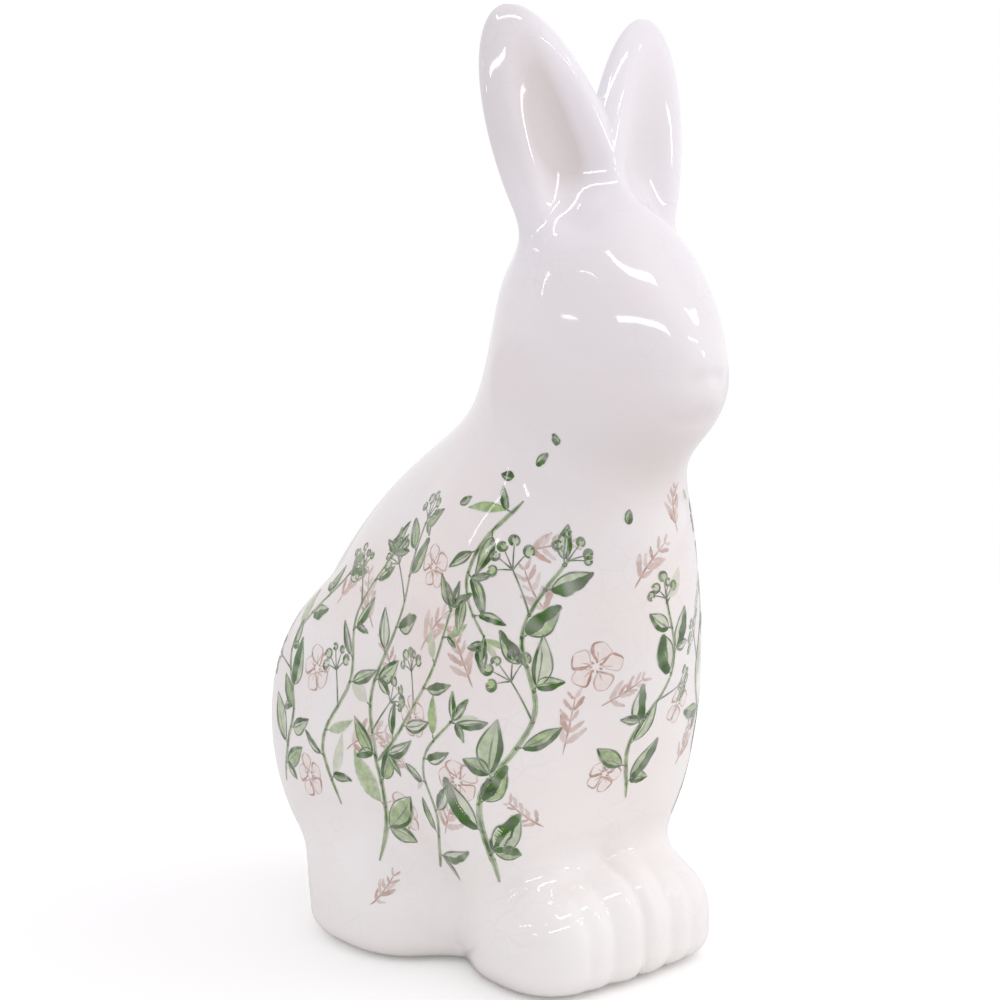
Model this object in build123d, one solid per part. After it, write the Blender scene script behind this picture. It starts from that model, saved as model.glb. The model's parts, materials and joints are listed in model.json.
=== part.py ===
from build123d import *
import os
import numpy as np

# A ceramic rabbit that sits upright on four felt pads, in millimetres. Z is up, the rabbit looks
# along -Y, and +X is the rabbit's own left. Every size below can be set by itself.
# The clay form is a blend of soft masses, as a modeller builds it up: each mass has its middle,
# its half sizes and the radius with which it melts into what is already there. Horizontal cuts
# of that blend are the sections of the hollow casting and of the ears.
# Heights are measured from the fired foot, and "aft" is the distance behind the spine's datum.

# Rump and belly mass
RUMP_AFT = 7.0
RUMP_HEIGHT = 72.0
RUMP_HALF_WIDTH = 42.0
RUMP_HALF_LENGTH = 58.0
RUMP_HALF_HEIGHT = 59.0
RUMP_TILT = -23.0

# Chest mass
CHEST_AFT = -21.0
CHEST_HEIGHT = 89.0
CHEST_HALF_WIDTH = 42.5
CHEST_HALF_LENGTH = 47.0
CHEST_HALF_HEIGHT = 68.0
CHEST_TILT = -17.5
CHEST_BLEND = 26.0

# Neck mass
NECK_AFT = -50.0
NECK_HEIGHT = 130.0
NECK_HALF_WIDTH = 33.0
NECK_HALF_LENGTH = 34.0
NECK_HALF_HEIGHT = 57.0
NECK_TILT = -11.5
NECK_BLEND = 28.5

# Head mass
HEAD_AFT = -60.0
HEAD_HEIGHT = 187.5
HEAD_HALF_WIDTH = 32.0
HEAD_HALF_LENGTH = 30.0
HEAD_HALF_HEIGHT = 38.5
HEAD_TILT = -1.5
HEAD_BLEND = 19.0

# Muzzle mass, set forward of the head's middle and below it
MUZZLE_FORWARD = 17.5
MUZZLE_DROP = 12.0
MUZZLE_HALF_WIDTH = 19.0
MUZZLE_HALF_LENGTH = 24.5
MUZZLE_HALF_HEIGHT = 19.0
MUZZLE_TILT = 5.0
MUZZLE_BLEND = 17.5

# Haunch masses, one on each side
HAUNCH_SIDE = 31.0
HAUNCH_AFT = 13.5
HAUNCH_HEIGHT = 60.5
HAUNCH_HALF_WIDTH = 19.5
HAUNCH_HALF_LENGTH = 45.5
HAUNCH_HALF_HEIGHT = 49.0
HAUNCH_BLEND = 7.5

# Foreleg masses, one on each side
LEG_SIDE = 24.0
LEG_AFT = -43.0
LEG_HEIGHT = 83.5
LEG_HALF_WIDTH = 24.0
LEG_HALF_LENGTH = 24.0
LEG_HALF_HEIGHT = 63.0
LEG_BLEND = 13.5

# Hind foot masses, one on each side, squarer than an egg
FOOT_SIDE = 24.5
FOOT_AFT = 1.0
FOOT_HEIGHT = 10.0
FOOT_HALF_WIDTH = 28.5
FOOT_HALF_LENGTH = 28.5
FOOT_HALF_HEIGHT = 27.0
FOOT_BLEND = 14.0

# Front paw masses, one on each side, squarer than an egg
PAW_SIDE = 14.0
PAW_AFT = -57.0
PAW_HEIGHT = 9.5
PAW_HALF_WIDTH = 24.0
PAW_HALF_LENGTH = 23.0
PAW_HALF_HEIGHT = 22.0
PAW_BLEND = 12.0

# Base mass that brings the rump down to the ground between the hind feet
BASE_AFT = 18.0
BASE_HEIGHT = 14.0
BASE_HALF_WIDTH = 28.0
BASE_HALF_LENGTH = 31.0
BASE_HALF_HEIGHT = 32.0
BASE_BLEND = 12.0

# How square a mass is: 2 is an egg, and a higher power is closer to a brick
EGG_POWER = 2.0
PAW_POWER = 2.6

# Ear leaves, one on each side: the middle, from the head's middle, then the lean out and back
# and the turn of the face
EAR_SIDE = 14.0
EAR_BEHIND = 2.0
EAR_RISE = 46.5
EAR_HALF_WIDTH = 20.0
EAR_HALF_THICKNESS = 7.0
EAR_HALF_LENGTH = 47.5
EAR_LEAN_OUT = 18.0
EAR_LEAN_BACK = 11.5
EAR_TURN_OUT = 6.0
EAR_BLEND = 12.0

# Hollow in the front of each ear leaf
HOLLOW_FORWARD = 10.5
HOLLOW_RAISE = 3.0
HOLLOW_HALF_WIDTH = 14.0
HOLLOW_HALF_DEPTH = 8.5
HOLLOW_HALF_LENGTH = 34.0
HOLLOW_LIP = 3.0

# Rounding where left and right masses meet on the middle plane
MIDLINE_SOFTNESS = 2.0

# Luting planes, walls and edges of the casting
EAR_SEAT_DROP = 4.0
WALL = 5.0
FLOOR = 6.0
FOOT_EDGE_RADIUS = 7.0
CAVITY_FOOT_HEIGHT = 26.0
CAVITY_FOOT_INSET = 11.0
CAVITY_TOP_GAP = 13.0

# Drain opening in the floor and the disc that closes it
DRAIN_RADIUS = 17.0
DRAIN_AFT = -10.0
SEAT_WIDTH = 3.0
DISC_THICKNESS = 3.0
DISC_CLEARANCE = 0.2
VENT_RADIUS = 3.0

# Tail, a squat egg luted low on the back, below the middle of the rump
TAIL_RADIUS = 14.0
TAIL_HALF_LENGTH = 12.0
TAIL_DROP = 38.0
TAIL_SINK = 6.0

# Felt pads under the paws and the hind feet
PAD_RADIUS = 8.0
PAD_THICKNESS = 1.0
PAW_PAD_SIDE = 18.0
FOOT_PAD_SIDE = 27.0
FOOT_PAD_AFT = 8.0

# Cuts of the clay form: the spine that their rays start from, in shares of the luting plane's
# height and of the head's place, and how closely they follow each other
SPINE_HEIGHT_SHARES = [0.0, 0.27, 0.54, 0.72, 0.9]
SPINE_AFT_SHARES = [0.23, 0.13, 0.37, 0.73, 0.9]
REACH = 110.0
PAW_ZONE_TOP = 48.0
CROWN_ZONE_HEIGHT = 14.0
PAW_SPACING = 2.6
BODY_SPACING = 10.0
CROWN_SPACING = 3.0
EAR_TIP_SHARE = 0.997
EAR_CROWDING = 1.5
EAR_CUT_COUNT = 20
EDGE_CUT_COUNT = 4
CAVITY_CUT_COUNT = 16
RAY_COUNT = 42
CAVITY_RAY_COUNT = 20
EAR_POINT_COUNT = 36
STEP_COUNT = 90
HALVING_COUNT = 30
SLIDE_COUNT = 12
SLOPE_STEP = 0.02


def mass_gap(point, middle, half_sizes, tilt, power):
    """Distance from a mass, negative inside: with u the point in half sizes and k = |u| in the
    mass's own power, the gap is (k - 1) divided by the slope of k."""
    x = point[0] - middle[0]
    y = point[1] - middle[1]
    z = point[2] - middle[2]
    turn = np.radians(tilt)
    along = np.cos(turn) * y + np.sin(turn) * z
    up = np.cos(turn) * z - np.sin(turn) * y
    return bare_gap(x, along, up, half_sizes, power)


def bare_gap(x, y, z, half_sizes, power):
    tiny = np.finfo(float).tiny
    shares = [np.abs(value) / half for value, half in zip((x, y, z), half_sizes)]
    k = np.maximum(sum(share**power for share in shares), tiny) ** (1 / power)
    slopes = [share ** (power - 1) / half for share, half in zip(shares, half_sizes)]
    slope = np.sqrt(sum(part * part for part in slopes)) + tiny
    return (k - 1) * k ** (power - 1) / slope


def blend(first, second, radius):
    """The nearer of two gaps, melted together where they differ by less than the radius."""
    overlap = np.maximum(radius - np.abs(first - second), 0)
    return np.minimum(first, second) - overlap * overlap / (4 * radius)


def head_and_body_gap(x, y, z):
    """Gap from everything but the ears, at points given as arrays."""
    point = (x, y, z)
    side = (np.hypot(x, MIDLINE_SOFTNESS), y, z)
    gap = mass_gap(
        point,
        (0, RUMP_AFT, RUMP_HEIGHT),
        (RUMP_HALF_WIDTH, RUMP_HALF_LENGTH, RUMP_HALF_HEIGHT),
        RUMP_TILT,
        EGG_POWER,
    )
    chest = mass_gap(
        point,
        (0, CHEST_AFT, CHEST_HEIGHT),
        (CHEST_HALF_WIDTH, CHEST_HALF_LENGTH, CHEST_HALF_HEIGHT),
        CHEST_TILT,
        EGG_POWER,
    )
    gap = blend(gap, chest, CHEST_BLEND)
    neck = mass_gap(
        point,
        (0, NECK_AFT, NECK_HEIGHT),
        (NECK_HALF_WIDTH, NECK_HALF_LENGTH, NECK_HALF_HEIGHT),
        NECK_TILT,
        EGG_POWER,
    )
    gap = blend(gap, neck, NECK_BLEND)
    head = mass_gap(
        point,
        (0, HEAD_AFT, HEAD_HEIGHT),
        (HEAD_HALF_WIDTH, HEAD_HALF_LENGTH, HEAD_HALF_HEIGHT),
        HEAD_TILT,
        EGG_POWER,
    )
    gap = blend(gap, head, HEAD_BLEND)
    muzzle = mass_gap(
        point,
        (0, HEAD_AFT - MUZZLE_FORWARD, HEAD_HEIGHT - MUZZLE_DROP),
        (MUZZLE_HALF_WIDTH, MUZZLE_HALF_LENGTH, MUZZLE_HALF_HEIGHT),
        MUZZLE_TILT,
        EGG_POWER,
    )
    gap = blend(gap, muzzle, MUZZLE_BLEND)
    haunch = mass_gap(
        side,
        (HAUNCH_SIDE, HAUNCH_AFT, HAUNCH_HEIGHT),
        (HAUNCH_HALF_WIDTH, HAUNCH_HALF_LENGTH, HAUNCH_HALF_HEIGHT),
        0,
        EGG_POWER,
    )
    gap = blend(gap, haunch, HAUNCH_BLEND)
    leg = mass_gap(
        side,
        (LEG_SIDE, LEG_AFT, LEG_HEIGHT),
        (LEG_HALF_WIDTH, LEG_HALF_LENGTH, LEG_HALF_HEIGHT),
        0,
        EGG_POWER,
    )
    gap = blend(gap, leg, LEG_BLEND)
    foot = mass_gap(
        side,
        (FOOT_SIDE, FOOT_AFT, FOOT_HEIGHT),
        (FOOT_HALF_WIDTH, FOOT_HALF_LENGTH, FOOT_HALF_HEIGHT),
        0,
        PAW_POWER,
    )
    gap = blend(gap, foot, FOOT_BLEND)
    paw = mass_gap(
        side,
        (PAW_SIDE, PAW_AFT, PAW_HEIGHT),
        (PAW_HALF_WIDTH, PAW_HALF_LENGTH, PAW_HALF_HEIGHT),
        0,
        PAW_POWER,
    )
    gap = blend(gap, paw, PAW_BLEND)
    base = mass_gap(
        point,
        (0, BASE_AFT, BASE_HEIGHT),
        (BASE_HALF_WIDTH, BASE_HALF_LENGTH, BASE_HALF_HEIGHT),
        0,
        PAW_POWER,
    )
    return blend(gap, base, BASE_BLEND)


def ear_middle():
    """Middle of the left ear leaf."""
    return np.array([EAR_SIDE, HEAD_AFT + EAR_BEHIND, HEAD_HEIGHT + EAR_RISE])


def ear_seat_height():
    """The plane in which the ears are luted on, a little below the top of the head."""
    return HEAD_HEIGHT + HEAD_HALF_HEIGHT - EAR_SEAT_DROP


def ear_axes():
    """Unit vectors of the left ear: across the leaf, out of its face, and along it."""
    lean = np.radians(EAR_LEAN_OUT)
    back = np.radians(EAR_LEAN_BACK)
    turn = np.radians(EAR_TURN_OUT)
    along = np.array([np.sin(lean), np.sin(back) * np.cos(lean), np.cos(lean) * np.cos(back)])
    along = along / np.linalg.norm(along)
    face = np.array([np.sin(turn), -np.cos(turn), 0])
    face = face - along * (face @ along)
    face = face / np.linalg.norm(face)
    return np.cross(along, face), face, along


def ear_gap(x, y, z):
    """Gap from the left ear leaf, with the hollow taken out of its face."""
    across, face, along = ear_axes()
    middle = ear_middle()
    offset = (x - middle[0], y - middle[1], z - middle[2])
    u, v, s = [sum(part * axis[i] for i, part in enumerate(offset)) for axis in (across, face, along)]
    leaf_sizes = (EAR_HALF_WIDTH, EAR_HALF_THICKNESS, EAR_HALF_LENGTH)
    leaf = bare_gap(u, v, s, leaf_sizes, EGG_POWER)
    hollow_sizes = (HOLLOW_HALF_WIDTH, HOLLOW_HALF_DEPTH, HOLLOW_HALF_LENGTH)
    hollow = bare_gap(u, v - HOLLOW_FORWARD, s - HOLLOW_RAISE, hollow_sizes, EGG_POWER)
    return -blend(-leaf, hollow, HOLLOW_LIP)


def clay_gap(x, y, z):
    """Gap from the whole rabbit, with both ears."""
    return blend(head_and_body_gap(x, y, z), ear_gap(np.abs(x), y, z), EAR_BLEND)


def left_ear_gap(x, y, z):
    """Gap from the head and the left ear alone, so that the leaf closes past the middle plane."""
    return blend(head_and_body_gap(x, y, z), ear_gap(x, y, z), EAR_BLEND)


def spine_aft(height):
    """How far behind the datum the spine lies at a height."""
    heights = ear_seat_height() * np.array(SPINE_HEIGHT_SHARES)
    return np.interp(height, heights, HEAD_AFT * np.array(SPINE_AFT_SHARES))


def cut_radii(gap, level, height, angles):
    """Along each ray from the spine, the furthest place where the gap equals the level: steps
    inwards from the reach find the last clear place, and halving the step closes in on it."""
    spine = spine_aft(height)

    def value(radius):
        return gap(radius * np.cos(angles), spine + radius * np.sin(angles), height) - level

    steps = np.linspace(REACH, 0, STEP_COUNT)[:, None]
    first_inside = np.argmax(value(steps) <= 0, axis=0)
    inner = steps[first_inside, 0]
    outer = steps[first_inside - 1, 0]
    for _ in range(HALVING_COUNT):
        middle = (inner + outer) / 2
        inside = value(middle) <= 0
        inner = np.where(inside, middle, inner)
        outer = np.where(inside, outer, middle)
    return inner


def closed_spline(points):
    """A smooth closed wire through the points, with evenly spaced parameters."""
    parameters = [float(i) for i in range(len(points) + 1)]
    edge = Edge.make_spline([Vector(*p) for p in points], periodic=True, parameters=parameters)
    return Wire([edge])


def section_heights():
    """Heights of the outer cuts: close together at the paws and the crown, wider between them."""
    seat = ear_seat_height()
    stops = [FOOT_EDGE_RADIUS, PAW_ZONE_TOP, seat - CROWN_ZONE_HEIGHT, seat]
    heights = [FOOT_EDGE_RADIUS]
    for start, end, spacing in zip(stops, stops[1:], [PAW_SPACING, BODY_SPACING, CROWN_SPACING]):
        count = round((end - start) / spacing)
        heights.extend(np.linspace(start, end, count + 1)[1:])
    return heights


def outer_cut(measured_height, height, inset):
    """One horizontal cut of the clay form, pulled in by the inset and drawn at the height."""
    return body_cut(clay_gap, 0, RAY_COUNT, measured_height, height, inset)


def cavity_cut(measured_height, height, inset):
    """The same for the hollow, which lies one wall further in and leaves the ears out."""
    return body_cut(head_and_body_gap, -WALL, CAVITY_RAY_COUNT, measured_height, height, inset)


def body_cut(gap, level, ray_count, measured_height, height, inset):
    angles = np.radians(90) + np.arange(ray_count) * np.radians(360) / ray_count
    radii = cut_radii(gap, level, measured_height, angles) - inset
    spine = spine_aft(measured_height)
    points = [(r * np.cos(a), spine + r * np.sin(a), height) for r, a in zip(radii, angles)]
    return closed_spline(points)


def outer_form():
    """The casting's outside, from the rounded edge of the foot up to the ears' luting plane."""
    edge_cuts = []
    for angle in np.radians(np.linspace(0, 90, EDGE_CUT_COUNT)):
        inset = FOOT_EDGE_RADIUS * (1 - np.sin(angle))
        height = FOOT_EDGE_RADIUS * (1 - np.cos(angle))
        edge_cuts.append(outer_cut(FOOT_EDGE_RADIUS, height, inset))
    cuts = [outer_cut(height, height, 0) for height in section_heights()]
    return Solid.make_loft(edge_cuts, ruled=True) + Solid.make_loft(cuts)


def cavity_form():
    """The hollow left by the drained slip, in plain bands that narrow towards the floor."""
    top = HEAD_HEIGHT + HEAD_HALF_HEIGHT - CAVITY_TOP_GAP
    cuts = [cavity_cut(CAVITY_FOOT_HEIGHT, FLOOR, CAVITY_FOOT_INSET)]
    for height in np.linspace(CAVITY_FOOT_HEIGHT, top, CAVITY_CUT_COUNT):
        cuts.append(cavity_cut(height, height, 0))
    return Solid.make_loft(cuts, ruled=True)


def ear_ring(share, rise):
    """The left ear's cut at one height: the leaf's own ellipse, slid sideways in its plane down
    the slope of the blended gap until it lies on the clay."""
    axes = np.array(ear_axes()) * np.array([[EAR_HALF_WIDTH], [EAR_HALF_THICKNESS], [EAR_HALF_LENGTH]])
    upward = axes[:, 2] / rise
    first = np.array([1, 0, 0]) - upward * upward[0]
    first = first / np.linalg.norm(first)
    second = np.cross(upward, first)
    angles = np.arange(EAR_POINT_COUNT) * np.radians(360) / EAR_POINT_COUNT
    middle = ear_middle() + share * (upward @ axes)
    size = np.sqrt(1 - share * share)
    round_trip = np.outer(np.cos(angles), first @ axes) + np.outer(np.sin(angles), second @ axes)
    x, y, z = (middle + size * round_trip).T
    for _ in range(SLIDE_COUNT):
        gap = left_ear_gap(x, y, z)
        rise_x = left_ear_gap(x + SLOPE_STEP, y, z) - left_ear_gap(x - SLOPE_STEP, y, z)
        rise_y = left_ear_gap(x, y + SLOPE_STEP, z) - left_ear_gap(x, y - SLOPE_STEP, z)
        slope_x = rise_x / (2 * SLOPE_STEP)
        slope_y = rise_y / (2 * SLOPE_STEP)
        steepness = slope_x * slope_x + slope_y * slope_y
        move = np.clip(gap / steepness, -EAR_HALF_THICKNESS, EAR_HALF_THICKNESS)
        x = x - move * slope_x
        y = y - move * slope_y
    return closed_spline(list(zip(x, y, z)))


def left_ear_form():
    """The ear casting from its luting plane to the tip, flat where the two ears meet. Its cuts
    crowd together towards the crown, where the clay lies flattest."""
    lifts = np.array(ear_axes())[:, 2] * np.array([EAR_HALF_WIDTH, EAR_HALF_THICKNESS, EAR_HALF_LENGTH])
    rise = np.linalg.norm(lifts)
    lowest = np.arcsin((ear_seat_height() - ear_middle()[2]) / rise)
    highest = np.arcsin(EAR_TIP_SHARE)
    angles = lowest + (highest - lowest) * np.linspace(0, 1, EAR_CUT_COUNT) ** EAR_CROWDING
    ear = Solid.make_loft([ear_ring(np.sin(angle), rise) for angle in angles])
    reach = 2 * EAR_HALF_LENGTH
    middle = ear_middle()
    side_block = Pos(reach, middle[1], middle[2]) * Box(2 * reach, 2 * reach, 2 * reach)
    return ear & side_block


def drained_casting(outer, cavity):
    """The body casting: hollow, with a drain opening and a rebate for its disc in the floor."""
    drain = Pos(0, DRAIN_AFT, 0) * Cylinder(DRAIN_RADIUS, 2 * FLOOR + WALL)
    rebate = Pos(0, DRAIN_AFT, 0) * Cylinder(DRAIN_RADIUS + SEAT_WIDTH, 2 * DISC_THICKNESS)
    return outer - cavity - drain - rebate


def closing_disc():
    """The disc that fills the rebate flush with the foot, with a vent through its middle."""
    radius = DRAIN_RADIUS + SEAT_WIDTH - DISC_CLEARANCE
    disc = Cylinder(radius, DISC_THICKNESS) - Cylinder(VENT_RADIUS, 2 * DISC_THICKNESS)
    return Pos(0, DRAIN_AFT, DISC_THICKNESS / 2) * disc


def tail_form(outer):
    """An egg turned about the front-to-back line, cut to lie on the back of the casting."""
    height = RUMP_HEIGHT - TAIL_DROP
    radii = cut_radii(clay_gap, 0, height, np.radians([90]))
    back = spine_aft(height) + radii[0]
    half_plane = Pos(TAIL_RADIUS, 0) * Rectangle(2 * TAIL_RADIUS, 4 * TAIL_HALF_LENGTH)
    egg = revolve(Ellipse(TAIL_RADIUS, TAIL_HALF_LENGTH) & half_plane, Axis.Y, 360)
    return Pos(0, back + TAIL_HALF_LENGTH - TAIL_SINK, height) * egg - outer


def felt_pads():
    """Four round pads: one under each front paw and one under each hind foot."""
    pad = Pos(0, 0, -PAD_THICKNESS / 2) * Cylinder(PAD_RADIUS, PAD_THICKNESS)
    return {
        "felt_pad_front_left": Pos(PAW_PAD_SIDE, PAW_AFT, 0) * pad,
        "felt_pad_front_right": Pos(-PAW_PAD_SIDE, PAW_AFT, 0) * pad,
        "felt_pad_rear_left": Pos(FOOT_PAD_SIDE, FOOT_PAD_AFT, 0) * pad,
        "felt_pad_rear_right": Pos(-FOOT_PAD_SIDE, FOOT_PAD_AFT, 0) * pad,
    }


def main():
    outer = outer_form()
    left_ear = left_ear_form()
    pieces = {
        "body_casting": drained_casting(outer, cavity_form()),
        "left_ear": left_ear,
        "right_ear": mirror(left_ear, about=Plane.YZ),
        "tail": tail_form(outer),
        "closing_disc": closing_disc(),
    }
    pieces.update(felt_pads())
    box = Compound(children=[piece.solid() for piece in pieces.values()]).bounding_box()
    place = Pos(0, -(box.min.Y + box.max.Y) / 2, PAD_THICKNESS)
    os.makedirs("parts", exist_ok=True)
    for name, piece in pieces.items():
        export_step((place * piece).solid(), f"parts/{name}.step")


main()
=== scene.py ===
# %% [markdown]
# # A glazed ceramic rabbit
# The real ornament is slip cast: a hollow body casting, two ears and a tail luted on with slip,
# one coat of clear glaze over a printed flower pattern, a clay disc over the drain hole and four
# felt pads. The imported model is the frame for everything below, and each new piece lies in it.

# %% Load the frame
import json
import math
import bpy
import numpy as np
from mathutils import Matrix, Vector

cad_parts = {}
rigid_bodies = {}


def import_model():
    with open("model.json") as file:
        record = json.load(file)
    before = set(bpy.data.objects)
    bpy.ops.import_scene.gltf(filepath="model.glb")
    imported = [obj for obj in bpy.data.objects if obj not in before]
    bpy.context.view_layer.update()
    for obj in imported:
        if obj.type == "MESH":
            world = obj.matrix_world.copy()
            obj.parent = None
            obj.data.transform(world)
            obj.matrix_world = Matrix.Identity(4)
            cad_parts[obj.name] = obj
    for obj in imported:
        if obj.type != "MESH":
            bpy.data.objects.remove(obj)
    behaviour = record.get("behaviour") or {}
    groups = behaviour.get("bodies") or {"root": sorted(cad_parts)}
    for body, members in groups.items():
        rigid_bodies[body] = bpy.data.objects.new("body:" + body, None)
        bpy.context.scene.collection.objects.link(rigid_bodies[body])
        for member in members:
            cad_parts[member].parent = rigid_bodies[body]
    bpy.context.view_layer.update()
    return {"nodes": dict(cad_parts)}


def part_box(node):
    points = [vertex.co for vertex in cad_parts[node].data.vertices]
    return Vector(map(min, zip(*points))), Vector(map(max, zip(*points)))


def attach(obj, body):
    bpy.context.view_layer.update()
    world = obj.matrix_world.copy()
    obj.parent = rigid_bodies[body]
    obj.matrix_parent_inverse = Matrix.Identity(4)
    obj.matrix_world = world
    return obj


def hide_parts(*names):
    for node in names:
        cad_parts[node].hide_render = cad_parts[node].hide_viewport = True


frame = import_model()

print("nodes:", sorted(frame["nodes"]))

# %% [markdown]
# ## Units and place
# Every size below is in millimetres, measured from the fired foot and from the modeller's own
# datum line. The closing disc is the one piece whose middle is known in both, so the shift into
# the frame is read from its box rather than typed.

# %% Millimetres to the frame
MM = 0.001
DISC_AFT = -10.0
disc_low, disc_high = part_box("closing_disc")
disc_middle = (np.array(disc_low) + np.array(disc_high)) / (2 * MM)
FOOT_LIFT = disc_low[2] / MM
SHIFT = np.array([0.0, disc_middle[1] - DISC_AFT, FOOT_LIFT])
print("shift into the frame, mm:", SHIFT.round(3))


def placed(points):
    """Points in millimetres from the datum, moved into the frame and turned to metres."""
    return (points + SHIFT) * MM


# %% [markdown]
# ## The camera
# The photograph looks from the rabbit's front right, a little below the top of its head. A
# normal lens at about half a metre gives the same slight widening towards the paws.

# %% Camera
VIEW_TURN = math.radians(40.35)
VIEW_DISTANCE = 570.9
VIEW_HEIGHT = 208.8
AIM = np.array([0.0, -14.46, 135.1])
LENS = 67.15

eye = AIM - VIEW_DISTANCE * np.array([math.sin(VIEW_TURN), math.cos(VIEW_TURN), 0.0])
eye[2] = VIEW_HEIGHT
lens_data = bpy.data.cameras.new("camera")
lens_data.lens = LENS
lens_data.sensor_width = 36.0
lens_data.sensor_fit = "HORIZONTAL"
lens_data.clip_start = 0.01
lens_data.clip_end = 20.0
camera = bpy.data.objects.new("camera", lens_data)
bpy.context.scene.collection.objects.link(camera)
camera.location = placed(eye)
sight = Vector(placed(AIM)) - camera.location
camera.rotation_euler = sight.to_track_quat("-Z", "Y").to_euler()
bpy.context.scene.camera = camera
bpy.context.scene.view_settings.view_transform = "Standard"
print("camera at", camera.location[:])

# %% [markdown]
# ## The clay form as a gap
# A modeller builds such a rabbit from soft masses that melt into each other. The same can be
# said in one formula: every mass is an egg with three half sizes, and its gap tells how far a
# point is from it, negative inside. Two gaps are melted by rounding off the smaller of them.
# The surface is where the melted gap is nought, so any grid of points can be laid on it.

# %% Masses of the body
# name: middle, half sizes, tilt in degrees, squareness, melting radius, one on each side or not
MASSES = {
    "rump": ((0, 7, 72), (42, 58, 59), -23, 2, 1, False),
    "chest": ((0, -21, 89), (42.5, 47, 68), -17.5, 2, 26, False),
    "neck": ((0, -50, 130), (33, 34, 57), -11.5, 2, 28.5, False),
    "head": ((0, -60, 187.5), (32, 30, 38.5), -1.5, 2, 19, False),
    "muzzle": ((0, -77.5, 175.5), (19, 24.5, 19), 5, 2, 17.5, False),
    "haunch": ((31, 13.5, 60.5), (19.5, 45.5, 49), 0, 2, 7.5, True),
    "leg": ((24, -43, 83.5), (24, 24, 63), 0, 2, 13.5, True),
    "foot": ((24.5, 1, 10), (28.5, 28.5, 27), 0, 2.6, 14, True),
    "paw": ((14, -57, 9.5), (24, 23, 22), 0, 2.6, 12, True),
    "base": ((0, 18, 14), (28, 31, 32), 0, 2.6, 12, False),
}
MIDLINE_SOFTNESS = 2.0


def egg_gap(x, y, z, sizes, power=2.0):
    """With u the point in half sizes and k the length of u in the egg's own power, the gap is
    k - 1 over the steepness of k."""
    shares = [np.abs(part) / size for part, size in zip((x, y, z), sizes)]
    k = np.maximum(sum(share**power for share in shares), 1e-12) ** (1 / power)
    climb = np.sqrt(sum((share ** (power - 1) / size) ** 2 for share, size in zip(shares, sizes)))
    return (k - 1) * k ** (power - 1) / (climb + 1e-12)


def melted(first, second, radius):
    """The smaller gap, less the square of the overlap over four radii, where they nearly tie."""
    overlap = np.maximum(radius - np.abs(first - second), 0)
    return np.minimum(first, second) - overlap * overlap / (4 * radius)


def torso_gap(points):
    """All masses of the table melted together in turn, the paired ones at their soft distance
    from the middle plane, which is the root of x squared plus the softness squared."""
    x, y, z = np.moveaxis(points, -1, 0)
    side = np.hypot(x, MIDLINE_SOFTNESS)
    gap = None
    for middle, sizes, tilt, power, melt, paired in MASSES.values():
        across = (side if paired else x) - middle[0]
        behind = y - middle[1]
        above = z - middle[2]
        turn = math.radians(tilt)
        along = math.cos(turn) * behind + math.sin(turn) * above
        up = math.cos(turn) * above - math.sin(turn) * behind
        mass = egg_gap(across, along, up, sizes, power)
        gap = mass if gap is None else melted(gap, mass, melt)
    return gap


print(len(MASSES), "masses melted into the torso")

# %% The ears
EAR_MIDDLE = np.array([14.0, -58.0, 234.0])
EAR_SIZES = np.array([20.0, 7.0, 47.5])
EAR_LEANS = np.radians([18.0, 11.5, 6.0])
EAR_SOFTNESS = 1.0
EAR_MELT = 12.0
HOLLOW_SIZES = np.array([13.0, 8.5, 38.0])
HOLLOW_PLACE = np.array([-0.5, 10.5, 1.0])
HOLLOW_DEPTH = 6.0
HOLLOW_LIP = 5.0


def ear_axes():
    """Unit vectors of the left leaf, from its lean out, lean back and turn: across the leaf, out
    of its face and along it, each made square to the others."""
    out, back, turn = EAR_LEANS
    along = np.array([np.sin(out), np.sin(back) * np.cos(out), np.cos(out) * np.cos(back)])
    along = along / np.linalg.norm(along)
    face = np.array([np.sin(turn), -np.cos(turn), 0.0])
    face = face - along * (face @ along)
    face = face / np.linalg.norm(face)
    return np.array([np.cross(along, face), face, along])


EAR_AXES = ear_axes()


def ear_gap(points):
    """A thin egg with a second egg taken out of its face, softly along the lip. The second gap
    runs on as the depth times a tanh inside its egg, so that the hollow fades at its foot."""
    u, v, s = np.moveaxis((points - EAR_MIDDLE) @ EAR_AXES.T, -1, 0)
    leaf = egg_gap(u, v, s, EAR_SIZES)
    hollow = egg_gap(u - HOLLOW_PLACE[0], v - HOLLOW_PLACE[1], s - HOLLOW_PLACE[2], HOLLOW_SIZES)
    hollow = np.where(hollow < 0, HOLLOW_DEPTH * np.tanh(hollow / HOLLOW_DEPTH), hollow)
    return -melted(-leaf, hollow, HOLLOW_LIP)


def clay_gap(points):
    """Torso and both ears, the ears at their own soft distance from the middle plane."""
    folded = points.copy()
    folded[..., 0] = np.hypot(points[..., 0], EAR_SOFTNESS)
    return melted(torso_gap(points), ear_gap(folded), EAR_MELT)


def slope(gap, points, step=0.02):
    """Central differences of the gap over the three directions."""
    parts = []
    for axis in np.eye(3) * step:
        parts.append((gap(points + axis) - gap(points - axis)) / (2 * step))
    return np.stack(parts, axis=-1)


def outward(gap, points):
    """Unit vectors up the slope, which are the surface's own normals."""
    rise = slope(gap, points)
    return rise / np.linalg.norm(rise, axis=-1, keepdims=True)


print("directions of the left ear, across, out and along:", EAR_AXES.round(3).tolist())
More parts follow.
